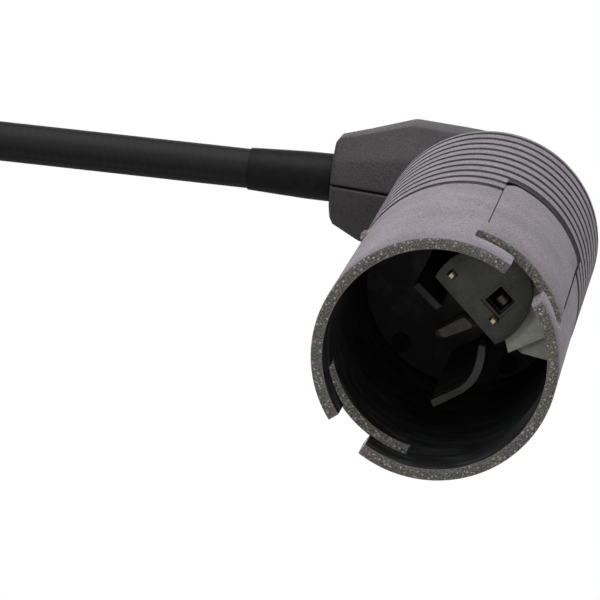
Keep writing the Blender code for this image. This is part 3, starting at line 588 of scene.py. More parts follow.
def spaced(fixed, step):
    """A run of values through the fixed ones with no gap wider than the step."""
    values = []
    for start, end in zip(fixed, fixed[1:]):
        count = max(1, math.ceil((end - start) / step - 1e-6))
        values += [start + (end - start) * k / count for k in range(count)]
    return values


def lining_radius(z):
    """Radius of the inner skin, a little smaller at the lip that keeps the lugs in."""
    return BORE_R - LIP_INSET if z < LIP + 1e-6 else BORE_R


def walls(columns, rows, azimuth, outer, solid, corner, wrapped):
    """Curved wall of two skins with open cells; cell edges become walls and corners are rounded.

    Materials: 0 outer skin, 1 cut walls with painted glints and shade, 2 inner skin painted near black as shade, 3
    groove floors painted darker as shade, 4 the window's cut walls painted near black as shade."""
    bm = bmesh.new()
    grids = []
    for radius_at in (outer, lining_radius):
        grid = []
        for z in rows:
            radius = radius_at(z)
            angles = [azimuth(column, z, radius) for column in columns]
            grid.append([bm.verts.new(around(radius, angle, z)) for angle in angles])
        grids.append(grid)
    skin, lining = grids
    across = len(columns)
    cells = across if wrapped else across - 1

    def filled(row, column):
        if wrapped:
            column %= across
        inside = 0 <= row < len(rows) - 1 and 0 <= column < cells
        return inside and solid(columns[column], rows[row])

    for row in range(len(rows) - 1):
        for column in range(cells):
            if not filled(row, column):
                continue
            right = (column + 1) % across
            ring = ((row, column), (row, right), (row + 1, right), (row + 1, column))
            # cells in a groove take the darker groove finish, painted shade
            grooved = groove_share((rows[row] + rows[row + 1]) / 2) < 0.99 and wrapped
            bm.faces.new([skin[r][c] for r, c in ring]).material_index = 3 if grooved else 0
            bm.faces.new([lining[r][c] for r, c in reversed(ring)]).material_index = 2
            beyond = ((row - 1, column), (row, column + 1), (row + 1, column), (row, column - 1))
            for side, near in enumerate(beyond):
                if not filled(*near):
                    a, b = ring[side], ring[(side + 1) % 4]
                    face = bm.faces.new([skin[b[0]][b[1]], skin[a[0]][a[1]],
                                         lining[a[0]][a[1]], lining[b[0]][b[1]]])
                    # walls of the window and of the tongue take the bore's near black, painted shade in the slits
                    face.material_index = 1 if rows[row] < ROOT - 1e-6 else 4
    bmesh.ops.recalc_face_normals(bm, faces=bm.faces)
    round_corners(bm, corner)
    rim = [edge for edge in bm.edges if len(edge.link_faces) == 2
           and sum(face.material_index == CUT[0] for face in edge.link_faces) == 1
           and not on_root(edge)]
    bmesh.ops.bevel(bm, geom=rim, offset=RIM_EDGE, segments=2, profile=0.5, affect="EDGES",
                    clamp_overlap=False)
    return bm


def on_root(edge):
    """True along the line where the latch grows out of the barrel, which has no edge."""
    return all(abs(vertex.co.z - ROOT) < 1e-6 for vertex in edge.verts)


def round_corners(bm, corner):
    """Bevels the upright edges where two cut walls meet, by the size that corner() gives."""
    sizes = {}
    for edge in bm.edges:
        walls_meet = len(edge.link_faces) == 2 and all(face.material_index in CUT for face in edge.link_faces)
        if walls_meet and edge.calc_face_angle() > 1.0:
            size = corner(edge.verts[0].co)
            if size:
                sizes.setdefault(size, []).append(edge)
    for size, edges in sizes.items():
        bmesh.ops.bevel(bm, geom=edges, offset=size, segments=4, profile=0.5, affect="EDGES",
                        clamp_overlap=False)


def barrel_rows():
    """Heights of the grid: plain sleeve, the window's round top, and nine for each groove."""
    top = [WINDOW_TOP - WINDOW_CORNER * (1 - math.sin(k * math.pi / 10)) for k in range(6)]
    rows = [0.0, LIP, SLOT_END, ROOT, 30 * MM, 40 * MM] + top
    for index in range(GROOVE_COUNT):
        middle = GROOVE_FIRST + index * GROOVE_PITCH
        heights = [middle + GROOVE_HALF * math.sin(math.pi / 2 * (k / 4 - 1)) for k in range(9)]
        rows += [z for z in heights if min(abs(z - other) for other in rows) > 0.06 * MM]
    return sorted(rows + [BARREL_END])


def make_barrel():
    """Barrel of the foot: ribbed sleeve with two T slots and the latch's window."""
    edge = [math.degrees(math.asin(v / BARREL_R)) for v in WINDOW_ACROSS]
    fixed = [-SLOT_HALF, edge[0], -ENTRY_HALF, ENTRY_HALF, edge[1], SLOT_HALF, 180 - SLOT_HALF,
             180 - ENTRY_HALF, 180 + ENTRY_HALF, 180 + SLOT_HALF, 360 - SLOT_HALF]

    def solid(degrees, z):
        middle = degrees + 0.1
        off = min(abs(middle - turn) for turn in (0, 180, 360))
        if z < LIP - 1e-6:
            return off > ENTRY_HALF
        if z < SLOT_END - 1e-6:
            return off > SLOT_HALF
        if ROOT - 1e-6 < z < WINDOW_TOP - 1e-6:
            return not edge[0] < middle < edge[1]
        return True

    def corner(point):
        if point.z > SLOT_END + 1 * MM:
            return 0
        return SLOT_CORNER_NEAR if point.dot(U) > 0 else SLOT_CORNER_FAR

    bm = walls(spaced(fixed, 3.0), barrel_rows(), barrel_azimuth, groove_radius, solid, corner, True)
    piece("barrel_shell", bm, BARREL_FINISHES, SUPPORT, ["foot_barrel"])


def tongue_side(z, side):
    """Side of the tongue across the key direction; its far corner is cut off towards the top."""
    if side == 0:
        cut = max(0.0, z - TONGUE_TOP + TONGUE_CUT) / TONGUE_CUT
        return TONGUE_ACROSS[0] + 1.5 * MM * cut
    cut = max(0.0, z - TONGUE_TOP + TONGUE_CUT / 2) / TONGUE_CUT
    return TONGUE_ACROSS[1] - 2.4 * MM * cut


def make_tongue():
    """Latch tongue grown from the barrel at its root, and the tooth on its inner face."""
    def azimuth(share, z, radius):
        low, high = (math.asin(tongue_side(z, side) / radius) for side in (0, 1))
        return KEY + low + (high - low) * share

    def outer(z):
        return BARREL_R - TONGUE_SINK * ((z - ROOT) / (TONGUE_TOP - ROOT)) ** 2

    def solid(share, z):
        return True

    def corner(point):
        return 0.8 * MM if point.z > TONGUE_TOP - 1 * MM else 0

    columns = [k / 20 for k in range(21)]
    rows = [ROOT + (TONGUE_TOP - TONGUE_CUT - ROOT) * k / 12 for k in range(13)]
    rows += [TONGUE_TOP - TONGUE_CUT * (1 - k / 4) for k in (1, 2, 3, 4)]
    bm = walls(columns, rows, azimuth, outer, solid, corner, False)
    tongue = piece("latch_tongue_shell", bm, BARREL_FINISHES, None)
    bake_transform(tongue)
    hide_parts("latch_tongue")
    buried = BORE_R + 0.4 * MM
    tooth = [(16.3 * MM, 48.4 * MM), (16.3 * MM, 50.8 * MM), (buried, 53 * MM), (buried, 48 * MM)]
    rings = []
    for step in range(7):
        out = around(1.0, KEY - 0.11 + 0.22 * step / 6)
        rings.append([out * r + UP * z for r, z in rounded(tooth, 0.4 * MM)])
    piece("latch_tooth", lofted(rings), (SLEEVE,), LATCH)


def make_nub():
    """Rough index nub left proud on the sleeve."""
    out = around(1.0, NUB_AZIMUTH)
    side = UP.cross(out)
    sunk, height, half_width, half_length = 0.3 * MM, 1.0 * MM, 1.2 * MM, 3.0 * MM
    rings = []
    for level in range(7):
        lean = level / 6 * math.pi / 2
        spread = math.cos(lean)
        middle = out * (BARREL_R - sunk + height * math.sin(lean)) + UP * NUB_Z
        turns = [k * math.tau / 28 for k in range(28)]
        rings.append([middle + side * (half_width * spread * math.cos(turn))
                      + UP * (half_length * spread * math.sin(turn)) for turn in turns])
    rings[-1] = [out * (BARREL_R - sunk + height) + UP * NUB_Z]
    nub = piece("index_nub", lofted(rings), (EDGE_PAINTED_LIGHT,), SUPPORT)
    roughen(nub, 0.45 * MM, 0.9 * MM)


# ---------------------------------------------------------------- contact insert
def ellipse(radii, edge, steps):
    """Ellipse about the plate's centre, cut by a straight edge."""
    cut = math.acos((edge - PLATE_CENTRE[0]) / radii[0])
    return [(PLATE_CENTRE[0] + radii[0] * math.cos(a), PLATE_CENTRE[1] + radii[1] * math.sin(a))
            for a in (-cut + 2 * cut * k / steps for k in range(steps + 1))]


def make_plate():
    """Face plate of the contacts with its square window and two pin holes."""
    outline = keyed(ellipse(PLATE_RADII, PLATE_EDGE, 72))
    plate = piece("contact_face_plate", slab(outline, PLATE_LOW.z, PLATE_HIGH.z), (MOULDED,), SUPPORT,
                  ["key_plate"])
    below, above = PLATE_LOW.z - 1 * MM, PLATE_HIGH.z + 1 * MM
    carve(plate, tool(slab(square(HOLE_PLACE, 4.5 * MM), below, PLATE_LOW.z + 0.35 * MM)))
    for centre, side in ((HOLE_PLACE, 3.5 * MM), *((place, 1.3 * MM) for place in PIN_PLACES)):
        carve(plate, tool(slab(square(centre, side), below, above)))
    soften(plate, 0.12 * MM)


def make_pins():
    """Square gold pins with pyramid tips."""
    low, high = heights("contact_pin_1")
    for number, centre in enumerate(PIN_PLACES, 1):
        rings = [[Vector((x, y, z)) for x, y in square(centre, side)]
                 for side, z in ((0.6 * MM, low), (0.78 * MM, low + 0.12 * MM), (0.7 * MM, high - 0.3 * MM),
                                 (0.34 * MM, high))]
        piece(f"gold_pin_{number}", lofted(rings), (GOLD,), SUPPORT, [f"contact_pin_{number}"])


def make_spring():
    """Leaf contact that rises through the square window and curls over."""
    low, high = heights("spring_contact")
    u, v = HOLE_PLACE
    half_thick, half_wide = 0.11 * MM, 0.75 * MM
    bend = arc(0.75 * MM, math.pi, math.pi * 2.15, 12, centre=(0.65 * MM, low + 0.81 * MM))
    route = [(-0.1 * MM, high), (-0.1 * MM, low + 3.0 * MM)] + bend + [(1.2 * MM, low + 2.2 * MM)]
    rings = []
    for place, side in sideways(route):
        ring = []
        for turn, half in ((1, -1), (1, 1), (-1, 1), (-1, -1)):
            point = Vector((u, 0)) + place + side * (half_thick * turn)
            ring.append(U * point.x + V * (v + half * half_wide) + UP * point.y)
        rings.append(ring)
    piece("leaf_contact", lofted(rings), (SPRING,), SUPPORT, ["spring_contact"])


def make_peg():
    """Retaining peg beside the plate, a rough five-sided post with a narrower end."""
    peg = [(4.5, -0.2), (4.5, 2.8), (-1.2, 0.6), (-1.9, -0.4), (-1.2, -1.5)]
    outline = rounded([Vector(point) * MM for point in peg], 0.5 * MM)
    low, high = heights("retainer_peg")
    centre = Vector((1.4, 0.2)) * MM
    rings = []
    for level in range(7):
        shrink = 0.84 if level == 0 else 1.0
        z = low + (high - low) * level / 6
        ring = keyed([centre + (Vector(point) - centre) * shrink for point in outline])
        rings.append([Vector((x, y, z)) for x, y in ring])
    made = piece("retaining_peg", lofted(rings), (DIM_MOULDED,), SUPPORT,
                 ["retainer_peg"])
    roughen(made, 0.35 * MM, 1.1 * MM)


def make_keying_rib():
    """Curved strip deep in the bore: grey plastic on the faces towards the mouth, the bore's near black as painted
    shade on the rest.
    """
    low, high = heights("keying_rib")
    low += 0.3 * MM
    half_thick = 0.6
    route = [(-1.3, 12.4), (-0.3, 11.8), (1.7, 10.6), (3.3, 9.5), (4.6, 8.3), (5.4, 6.8), (5.9, 5.2),
             (6.1, 3.4), (6.1, 1.6)]
    pairs = sideways(route)
    outline = [(point + side * half_thick) * MM for point, side in pairs]
    outline += [(point - side * half_thick) * MM for point, side in reversed(pairs)]
    levels = [low + (high - low) * k / 16 for k in range(17)]
    rib = piece("key_rib_strip", lofted([[Vector((x, y, z)) for x, y in outline] for z in levels]),
                (BORE, DIM_MOULDED), SUPPORT, ["keying_rib"])
    # faces that look down to the mouth keep the grey; the others get the bore's painted shade
    for face in rib.data.polygons:
        face.material_index = int(face.normal.z < -0.5)
    roughen(rib, 0.22 * MM, 0.8 * MM)


def make_shoulder():
    """Shelf beside the plate, with a lower step whose leg stands on the carrier."""
    low, high = heights("key_shoulder")
    inner = [(PLATE_CENTRE[0] + 6.2 * MM * math.cos(a), PLATE_CENTRE[1] + 7.6 * MM * math.sin(a))
             for a in (math.radians(105 - 83 * k / 20) for k in range(21))]
    step = [(12.6 * MM, 11.85 * MM), (5.0 * MM, 9.5 * MM)]
    shelf = arc(17.3 * MM, math.radians(10), math.radians(43), 16) + step + inner
    leg = arc(17.9 * MM, math.radians(41), math.radians(60), 12)
    leg += [(6.2 * MM, 11.4 * MM), (5.4 * MM, 8.2 * MM)]
    shelf_thick = 7.5 * MM
    shoulder = piece("insert_shoulder", slab(keyed(shelf), low, low + shelf_thick), (PALE_MOULDED,), SUPPORT,
                     ["key_shoulder"])
    carve(shoulder, tool(slab(keyed(leg), low + 2.5 * MM, high)), "UNION")
    soften(shoulder, 0.35 * MM)


# ---------------------------------------------------------------- elbow
COLLAR = ((-35.0, 8.5, 8.5, 8.5), (-28.7, 10.3, 11.6, 10.4), (-20.0, 13.0, 13.0, 13.0),
          (-8.3, 12.3, 12.6, 13.0), (3.6, 11.1, 11.3, 13.0), (8.0, 8.3, 8.5, 10.0))
JOIN_Y = 0.15


def collar_sizes(x):
    """Half widths towards -Y, towards +Y and upright at a place along the arm, in mm."""
    for low, high in zip(COLLAR, COLLAR[1:]):
        if x <= high[0]:
            break
    share = (x - low[0]) / (high[0] - low[0])
    return [a + (b - a) * share for a, b in zip(low[1:], high[1:])]


def collar_ring(x, side, shrink=0.0):
    """Half section of the collar: flat flanks, chamfers and a low ridge along the joint underneath."""
    front, back, upright = (size - shrink for size in collar_sizes(x))
    wide = front if side < 0 else back
    corners = [(JOIN_Y, -upright), (wide * 0.56, -upright * 0.86), (wide, -upright * 0.40),
               (wide, upright * 0.414), (wide * 0.414, upright), (JOIN_Y, upright)]
    smooth = rounded([Vector(corner) for corner in corners], 0.9)
    return [Vector((x * MM, y * side * MM, ARM_Z + z * MM)) for y, z in smooth]


def make_elbow():
    """Two glued half shells: collar, neck and the arm's socket."""
    stations = [(-35.0, 0.7), (-34.3, 0.0)]
    for station in COLLAR[1:-1]:
        stations += [(station[0] - 0.9, 0.0), (station[0], 0.04), (station[0] + 0.9, 0.0)]
    stations += [(7.2, 0.0), (8.0, 0.8)]
    for end, side in (("front", -1), ("back", 1)):
        rings = [collar_ring(x, side, shrink) for x, shrink in stations]
        shell = piece(f"elbow_half_{end}", lofted(rings), (DARK,), SUPPORT,
                      [f"elbow_shell_{end}"])
        neck = tool(bar(NECK_R, UP * (BARREL_END + 0.3 * MM), UP * 136 * MM, 72, 0.5 * MM))
        reach = 20 * MM
        beyond = [(-reach, -side * reach), (reach, -side * reach), (reach, side * JOIN_Y * MM),
                  (-reach, side * JOIN_Y * MM)]
        carve(neck, tool(slab(beyond[::side], 95 * MM, 140 * MM)))
        carve(shell, neck, "UNION")
        carve(shell, tool(bar(8.3 * MM, UP * 95 * MM, UP * 118.3 * MM, 48)))
        carve(shell, tool(bar(7.5 * MM, UP * 117 * MM, UP * 148 * MM, 44)))
        carve(shell, tool(bar(TUBE_R + SOCKET_GAP, (-40 * MM, 0, ARM_Z), (-10 * MM, 0, ARM_Z), 52)))
        if side > 0:
            for x, z in ELBOW_SCREWS:
                inner = (x * MM, 5 * MM, ARM_Z + z * MM)
                outer = (x * MM, 16 * MM, ARM_Z + z * MM)
                carve(shell, tool(bar(2.7 * MM, inner, outer, 36)))
        soften(shell, 0.22 * MM)


HEAD_SCREW_SPOTS = [HEAD @ around(POST_R, math.radians(60 + 120 * k)) for k in range(3)]
REAR_SCREW_SPOTS = [around(CAP_SCREW_R, math.radians(45 + 90 * k)) for k in range(4)]


def socket_screw(name, cad, top, down, head_r, head_h, shank_r, length):
    """Button-edged screw with a hexagon socket; top is the middle of its head."""
    key = head_r * 0.5
    outline = rounded([(key * 1.2, 0), (head_r, 0), (head_r, head_h), (shank_r, head_h), (shank_r, length)],
                      head_r * 0.22, closed=False)
    socket = [(0, head_h * 0.62), (key * 0.9, head_h * 0.62, 6), (key, 0.05 * head_h, 6)]
    profile = socket + [tuple(point) for point in outline] + [(0, length)]
    matrix = along(top, Vector(top) + Vector(down))
    piece(name, turned(profile, matrix, 48), (STEEL,), SUPPORT, [cad])


def make_screws():
    """Every socket screw and grub screw of the elbow, the head and the rear cap."""
    for number, (x, z) in enumerate(ELBOW_SCREWS, 1):
        socket_screw(f"elbow_cap_screw_{number}", f"elbow_screw_{number}", (x * MM, 7 * MM, ARM_Z + z * MM),
                     (0, -1, 0), 2.3 * MM, 1.7 * MM, 1.25 * MM, 13 * MM)
    for number, spot in enumerate(HEAD_SCREW_SPOTS, 1):
        socket_screw(f"head_cap_screw_{number}", f"head_screw_{number}", spot + UP * (CAP_HIGH.z - 0.2 * MM),
                     -UP, 1.8 * MM, 1.4 * MM, 0.95 * MM, 11 * MM)
    for number, spot in enumerate(REAR_SCREW_SPOTS, 1):
        socket_screw(f"rear_cap_screw_{number}", f"rear_screw_{number}", spot + UP * (BARREL_END - 0.2 * MM),
                     -UP, 2.2 * MM, 1.7 * MM, 1.2 * MM, 12 * MM)
    for number, x in enumerate(GRUB_PLACES, 1):
        low, high = heights(f"grub_screw_{number}")
        length = high - low
        profile = [(0, 1.0 * MM), (0.5 * MM, 0.95 * MM, 6), (0.55 * MM, 0, 6), (0.8 * MM, 0),
                   (1.0 * MM, 0.2 * MM), (1.0 * MM, length - 0.3 * MM), (0.6 * MM, length), (0, length)]
        piece(f"grub_set_screw_{number}", turned(profile, Matrix.Translation((x, 0, low)), 36), (STEEL,),
              SUPPORT, [f"grub_screw_{number}"])


def make_rear_cap():
    """Cap that closes the barrel, with a seat for its seal, a spigot and four counterbored holes."""
    low, high = heights("rear_cap")
    cable_r, spigot_r = 3 * MM, 8 * MM
    seat_low, seat_high = 95.2 * MM, 97.2 * MM
    profile = [(cable_r, low), (REAR_CAP_R, low), (REAR_CAP_R, seat_low), (SEAL_SEAT_R, seat_low),
               (SEAL_SEAT_R, seat_high), (REAR_CAP_R, seat_high), (REAR_CAP_R, BARREL_END),
               (spigot_r, BARREL_END), (spigot_r, high), (cable_r, high)]
    cap = piece("rear_cover", turned(rounded(profile, 0.4 * MM), steps=96, closed=True), (DARK,), SUPPORT,
                ["rear_cap"])
    for spot in REAR_SCREW_SPOTS:
        carve(cap, tool(bar(2.6 * MM, spot + UP * 97.8 * MM, spot + UP * 101 * MM, 32)))
        carve(cap, tool(bar(1.5 * MM, spot + UP * 92 * MM, spot + UP * 98.5 * MM, 24)))
    soften(cap, 0.15 * MM)


# ---------------------------------------------------------------- arm
def make_arm():
    """Carbon tube and the tapered rubber boot where it enters the collar."""
    tube = bar(TUBE_R, (TUBE_LOW.x, 0, ARM_Z), (TUBE_HIGH.x, 0, ARM_Z), 72, 0.2 * MM, TUBE_R - 1 * MM)
    piece("carbon_arm", tube, (CARBON,), SUPPORT, ["arm_tube"])
    low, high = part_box("arm_gland")
    length = high.x - low.x
    outline = [(TUBE_R + 0.1 * MM, 0), (4.85 * MM, 0), (4.8 * MM, 5 * MM), (4.55 * MM, 11 * MM),
               (TUBE_R + 0.26 * MM, length), (TUBE_R + 0.1 * MM, length)]
    matrix = along((high.x, 0, ARM_Z), (low.x, 0, ARM_Z))
    piece("arm_boot", turned(rounded(outline, 0.25 * MM), matrix, 64, closed=True), (RUBBER,), SUPPORT,
          ["arm_gland"])


# ---------------------------------------------------------------- rotor head
def make_head():
    """Head housing: bearing room, shaft bore, the boss that takes the arm and two grub screw holes."""
    floor = HEAD_LOW.z + 10 * MM
    top = HEAD_HIGH.z
    profile = [(SHAFT_BORE_R, HEAD_LOW.z), (8 * MM, HEAD_LOW.z), (8 * MM, floor), (12 * MM, floor),
               (HEAD_R, floor + 3 * MM), (HEAD_R, top), (HEAD_ROOM_R, top), (HEAD_ROOM_R, HEAD_ROOM_FLOOR),
               (SHAFT_BORE_R, HEAD_ROOM_FLOOR)]
    body = piece("head_housing", turned(rounded(profile, 0.7 * MM, 4), HEAD, 96, closed=True), (DARK,),
                 SUPPORT, ["head_body"])
    carve(body, tool(bar(7 * MM, (SPIN_X + 12 * MM, 0, ARM_Z), (BOSS_END, 0, ARM_Z), 56, 0.8 * MM)), "UNION")
    socket_start, socket_end = (SPIN_X + 15 * MM, 0, ARM_Z), (BOSS_END + 1 * MM, 0, ARM_Z)
    carve(body, tool(bar(TUBE_R + SOCKET_GAP, socket_start, socket_end, 44)))
    for x in GRUB_PLACES:
        carve(body, tool(bar(1.35 * MM, (x, 0, HEAD_ROOM_FLOOR), (x, 0, ARM_Z), 28)))
    soften(body, 0.2 * MM)


def make_head_cap():
    """Round cap of the head, with a shallow ring in its top and three counterbored holes."""
    top, ring_depth = CAP_HIGH.z, 0.12 * MM
    edge = arc(2 * MM, 0, math.pi / 2, 8, centre=(HEAD_R - 2 * MM, top - 2 * MM))
    profile = [(0, CAP_LOW.z), (HEAD_R - 0.3 * MM, CAP_LOW.z), (HEAD_R, CAP_LOW.z + 0.3 * MM)] + edge
    profile += [(11.6 * MM, top), (11.4 * MM, top - ring_depth), (6 * MM, top - ring_depth),
                (5.8 * MM, top), (0, top)]
    cap = piece("head_cover", turned(profile, HEAD, 96), (DARK,), SUPPORT,
                ["head_cap"])
    for spot in HEAD_SCREW_SPOTS:
        carve(cap, tool(bar(2.2 * MM, spot + UP * (top - 1.9 * MM), spot + UP * (top + 1 * MM), 32)))
        carve(cap, tool(bar(1.25 * MM, spot + UP * (CAP_LOW.z - 1 * MM), spot + UP * (top - 1.2 * MM), 24)))
    soften(cap, 0.12 * MM)


def cup_radius(depth, radius, length):
    """Blunt rounded cone: radius at a depth below the mouth."""
    return radius * (1 - min(depth / length, 1.0) ** 2) ** 0.6


def cup_curve(radius, length, steps=20):
    """Points (radius, depth) from the mouth to the nose."""
    depths = [length * math.sin(k / steps * math.pi / 2) for k in range(steps + 1)]
    return [(cup_radius(depth, radius, length), depth) for depth in depths[:-1]] + [(0.0, length)]


def rotor_turn(number):
    """Matrix from the first cup's place to that of another cup, about the rotor's centre."""
    return Matrix.Translation((SPIN_X, 0, ROTOR_Z)) @ Matrix.Rotation(number * math.tau / 3, 4, "Z")


def spoke(number, radius, start, end, steps, edge=0.0):
    """Round bar along a cup's rod, from start to end out from the spin axis."""
    turn = rotor_turn(number)
    return bar(radius, turn @ Vector((start, 0, 0)), turn @ Vector((end, 0, 0)), steps, edge)


def make_cups():
    """Three cups with a rounded rim bead and a raised band, each on its own rod."""
    inner_r = CUP_R - CUP_WALL
    outside = [(r - (0.35 * MM if depth > 2.2 * MM else 0), CUP_MOUTH - depth)
               for r, depth in cup_curve(CUP_R, CUP_DEPTH)[:-1]] + [(0.0, CUP_MOUTH - CUP_DEPTH)]
    inside = [(r, CUP_MOUTH - depth) for r, depth in cup_curve(inner_r, CUP_DEPTH - CUP_WALL)]
    lip = rounded([(inner_r - 0.01 * MM, CUP_MOUTH - 1.5 * MM), (inner_r, CUP_MOUTH), (CUP_R, CUP_MOUTH),
                   (CUP_R, CUP_MOUTH - 1.5 * MM)], 0.5 * MM, 4, closed=False)[1:-1]
    profile = inside[:0:-1] + [tuple(point) for point in lip] + outside[1:]
    hollow = [(0, CUP_MOUTH - CUP_DEPTH + CUP_WALL)] + inside[:0:-1][1:]
    hollow += [(inner_r - 0.02 * MM, CUP_MOUTH - 2 * MM), (0, CUP_MOUTH - 2 * MM)]
    for number in range(3):
        facing = rotor_turn(number) @ Matrix.Translation((CUP_CENTRE, 0, 0))
        facing = facing @ Matrix.Rotation(-math.pi / 2, 4, "X")
        cup = piece(f"wind_cup_{number + 1}", turned(profile, facing, 80), (GLASS_NYLON,), ROTOR,
                    [f"cup_{number + 1}"])
        carve(cup, tool(spoke(number, 3.3 * MM, 17.5 * MM, 25.6 * MM, 40, 0.5 * MM)), "UNION")
        carve(cup, tool(turned(hollow, facing, 80)))
        carve(cup, tool(spoke(number, ROD_R + 0.2 * MM, 16 * MM, 22.2 * MM, 36)))
        cup.data.shade_smooth()
        cup.data.set_sharp_from_angle(angle=math.radians(34))
        rod = spoke(number, ROD_R, 5.9 * MM, 21.9 * MM, 40, 0.25 * MM)
        piece(f"cup_rod_{number + 1}", rod, (STEEL,), ROTOR, [f"cup_arm_{number + 1}"])


def make_hub():
    """Hub with its rain skirt, and three holes for the cup rods."""
    outline = [(2.3, 100), (8.5, 100), (10.5, 102), (10.5, 110), (11.6, 112), (11.6, 121.5), (9.6, 121.5),
               (9.6, 112.4), (3.4, 112.4), (3.4, 116.2), (2.3, 116.2)]
    profile = rounded([Vector(point) * MM for point in outline], 0.6 * MM, 4)
    hub = piece("hub_and_skirt", turned(profile, HEAD, 96, closed=True), (GLASS_NYLON,), ROTOR,
                ["rotor_hub"])
    for number in range(3):
        carve(hub, tool(spoke(number, 2.1 * MM, 5.6 * MM, 13 * MM, 32)))
    soften(hub, 0.2 * MM)


def make_shaft_and_nut():
    """Shaft of the rotor, with the washer and the nut that hold the hub."""
    low, high = SHAFT_LOW.z, SHAFT_HIGH.z
    profile = rounded([(0, low), (2 * MM, low), (2 * MM, high), (0, high)], 0.4 * MM, 3, closed=False)
    piece("spindle", turned(profile, HEAD, 48), (STEEL,), ROTOR, ["rotor_shaft"])
    low, high = heights("hub_nut")
    hole_r, chamfer = 2.2 * MM, 0.35 * MM
    flat = 4.0 * MM * math.cos(math.pi / 6)
    profile = [(hole_r, low), (flat * 0.98, low), (flat, low + chamfer, 6), (flat, high - chamfer, 6),
               (flat * 0.98, high), (hole_r, high)]
    piece("hexagon_nut", turned(profile, HEAD, 72, closed=True), (STEEL,), ROTOR,
          ["hub_nut"], crease=20)
    low, high = heights("hub_washer")
    profile = rounded([(hole_r, low), (4.5 * MM, low), (4.5 * MM, high), (hole_r, high)], 0.12 * MM)
    piece("plain_washer", turned(profile, HEAD, 64, closed=True), (STEEL,), ROTOR,
          ["hub_washer"])


def dress_hidden_nodes():
    """The pieces that stay as the frame made them get the finish of their record slot."""
    slots = {entry["node"]: entry["material_slot"] for entry in RECORD["subparts"]}
    for name, obj in frame["nodes"].items():
        if obj.hide_render:
            continue
        finish_for = INSERT_FINISHES.get(name, NODE_FINISHES[slots[name]])
        obj.data.materials.clear()
        obj.data.materials.append(finish_for)


# ---------------------------------------------------------------- stage, light and camera
def make_stage():
    """Studio floor under the hanging object."""
    piece("studio_floor", floor_mesh(), (floor_paint(),), None)


def floor_mesh():
    """Wide flat sheet well below the foot."""
    bm = bmesh.new()
    bmesh.ops.create_grid(bm, x_segments=4, y_segments=4, size=30)
    bmesh.ops.translate(bm, verts=bm.verts, vec=(0, 0, -2.2))
    return bm


def floor_paint():
    """Matt studio paint, pale and a little uneven."""
    made, tree, shader, place = finish("matt_studio_paint", Roughness=0.9)
    cloud = node(tree, "ShaderNodeTexNoise", {"Vector": place}, Scale=0.6, Detail=3.0)
    colour = node(tree, "ShaderNodeMix", {"Factor": cloud}, data_type="RGBA",
                  A=linear("f1f1f0"), B=linear("f7f7f7"))
    tree.links.new(colour, shader.inputs["Base Color"])
    return made


def make_sky():
    """White surroundings: bright overhead, dim underneath, plain white behind the object."""
    world = bpy.data.worlds.new("studio_surroundings")
    world.use_nodes = True
    bpy.context.scene.world = world
    tree = world.node_tree
    background = tree.nodes["Background"]
    direction = tree.nodes.new("ShaderNodeTexCoord").outputs["Generated"]
    split = tree.nodes.new("ShaderNodeSeparateXYZ")
    tree.links.new(direction, split.inputs[0])
    level = node(tree, "ShaderNodeMapRange", {"Value": split.outputs["Z"]}, From_Min=-1.0, From_Max=1.0,
                 To_Min=SKY_LOW, To_Max=SKY_HIGH)
    seen = tree.nodes.new("ShaderNodeLightPath").outputs["Is Camera Ray"]
    strength = node(tree, "ShaderNodeMix", {"Factor": seen, "A": level}, data_type="FLOAT", B=1.0)
    tree.links.new(strength, background.inputs["Strength"])
    background.inputs["Color"].default_value = (1, 1, 1, 1)


def hang(light, place, aim, power):
    """Puts a light at its place and points it."""
    light.energy = power
    made = bpy.data.objects.new(light.name, light)
    bpy.context.scene.collection.objects.link(made)
    made.location = place
    made.rotation_euler = (Vector(aim) - Vector(place)).to_track_quat("-Z", "Y").to_euler()
    return made


def lamp(name, place, aim, size, power):
    """Soft round lamp that the camera doesn't see."""
    light = bpy.data.lights.new(name, "AREA")
    light.shape = "DISK"
    light.size = size
    hang(light, place, aim, power).visible_camera = False


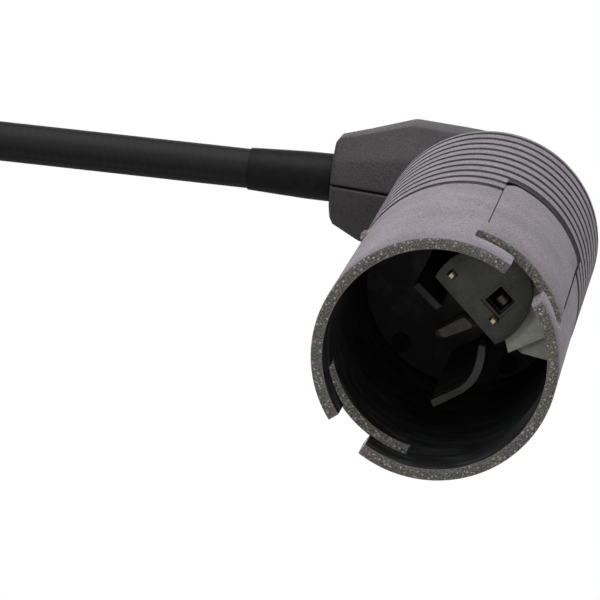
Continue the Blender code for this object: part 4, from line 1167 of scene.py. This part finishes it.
def snoot(name, place, aim, degrees, power):
    """Narrow soft-edged lamp that reaches only into the foot's mouth."""
    light = bpy.data.lights.new(name, "SPOT")
    light.spot_size = math.radians(degrees)
    light.spot_blend = 0.6
    light.shadow_soft_size = 0.03
    hang(light, place, aim, power)


# the camera's place in barrel radii from the mouth, and its aim
CAMERA_PLACE = Vector((2.2065, -6.6915, -27.1865))
CAMERA_FORWARD = Vector((-0.11836, 0.22499, 0.96715))
CAMERA_UP = Vector((-0.11338, -0.97068, 0.21193))


def make_camera():
    """Long lens under the foot, looking up its barrel from the latch's side."""
    camera = bpy.data.cameras.new("studio_camera")
    camera.lens = 210
    camera.sensor_width = 36
    camera.clip_start = 0.02
    camera.clip_end = 60
    made = bpy.data.objects.new("studio_camera", camera)
    bpy.context.scene.collection.objects.link(made)
    mouth = Vector(MOUNTS["bayonet_socket"]["pos_m"])
    place = mouth + CAMERA_PLACE * BARREL_R
    forward = CAMERA_FORWARD
    right = forward.cross(CAMERA_UP).normalized()
    upward = right.cross(forward).normalized()
    turn = Matrix((right, upward, -forward)).transposed()
    made.matrix_world = Matrix.Translation(place) @ turn.to_4x4()
    bpy.context.scene.camera = made


make_barrel()
make_tongue()
make_nub()
make_plate()
make_pins()
make_spring()
make_peg()
make_keying_rib()
make_shoulder()
make_elbow()
make_screws()
make_rear_cap()
make_arm()
make_head()
make_head_cap()
make_cups()
make_hub()
make_shaft_and_nut()
dress_hidden_nodes()
make_stage()
make_sky()
FOOT_MIDDLE = UP * BARREL_END / 2
lamp("key_lamp", (-0.11, -0.44, 0.0), (0, 0, 0.02), 0.18, 1.15)
lamp("fill_lamp", (0.1, -0.9, 0.15), FOOT_MIDDLE, 0.6, 1.8)
lamp("overhead_lamp", (-0.1, 0.2, 1.5), (-0.1, 0.0, -2.0), 1.2, 14.0)
snoot("mouth_lamp", (-0.16, -0.10, -0.34), (0.012, 0.0, 0.03), 8.0, 0.62)
make_camera()
bpy.context.scene.view_settings.view_transform = "Standard"
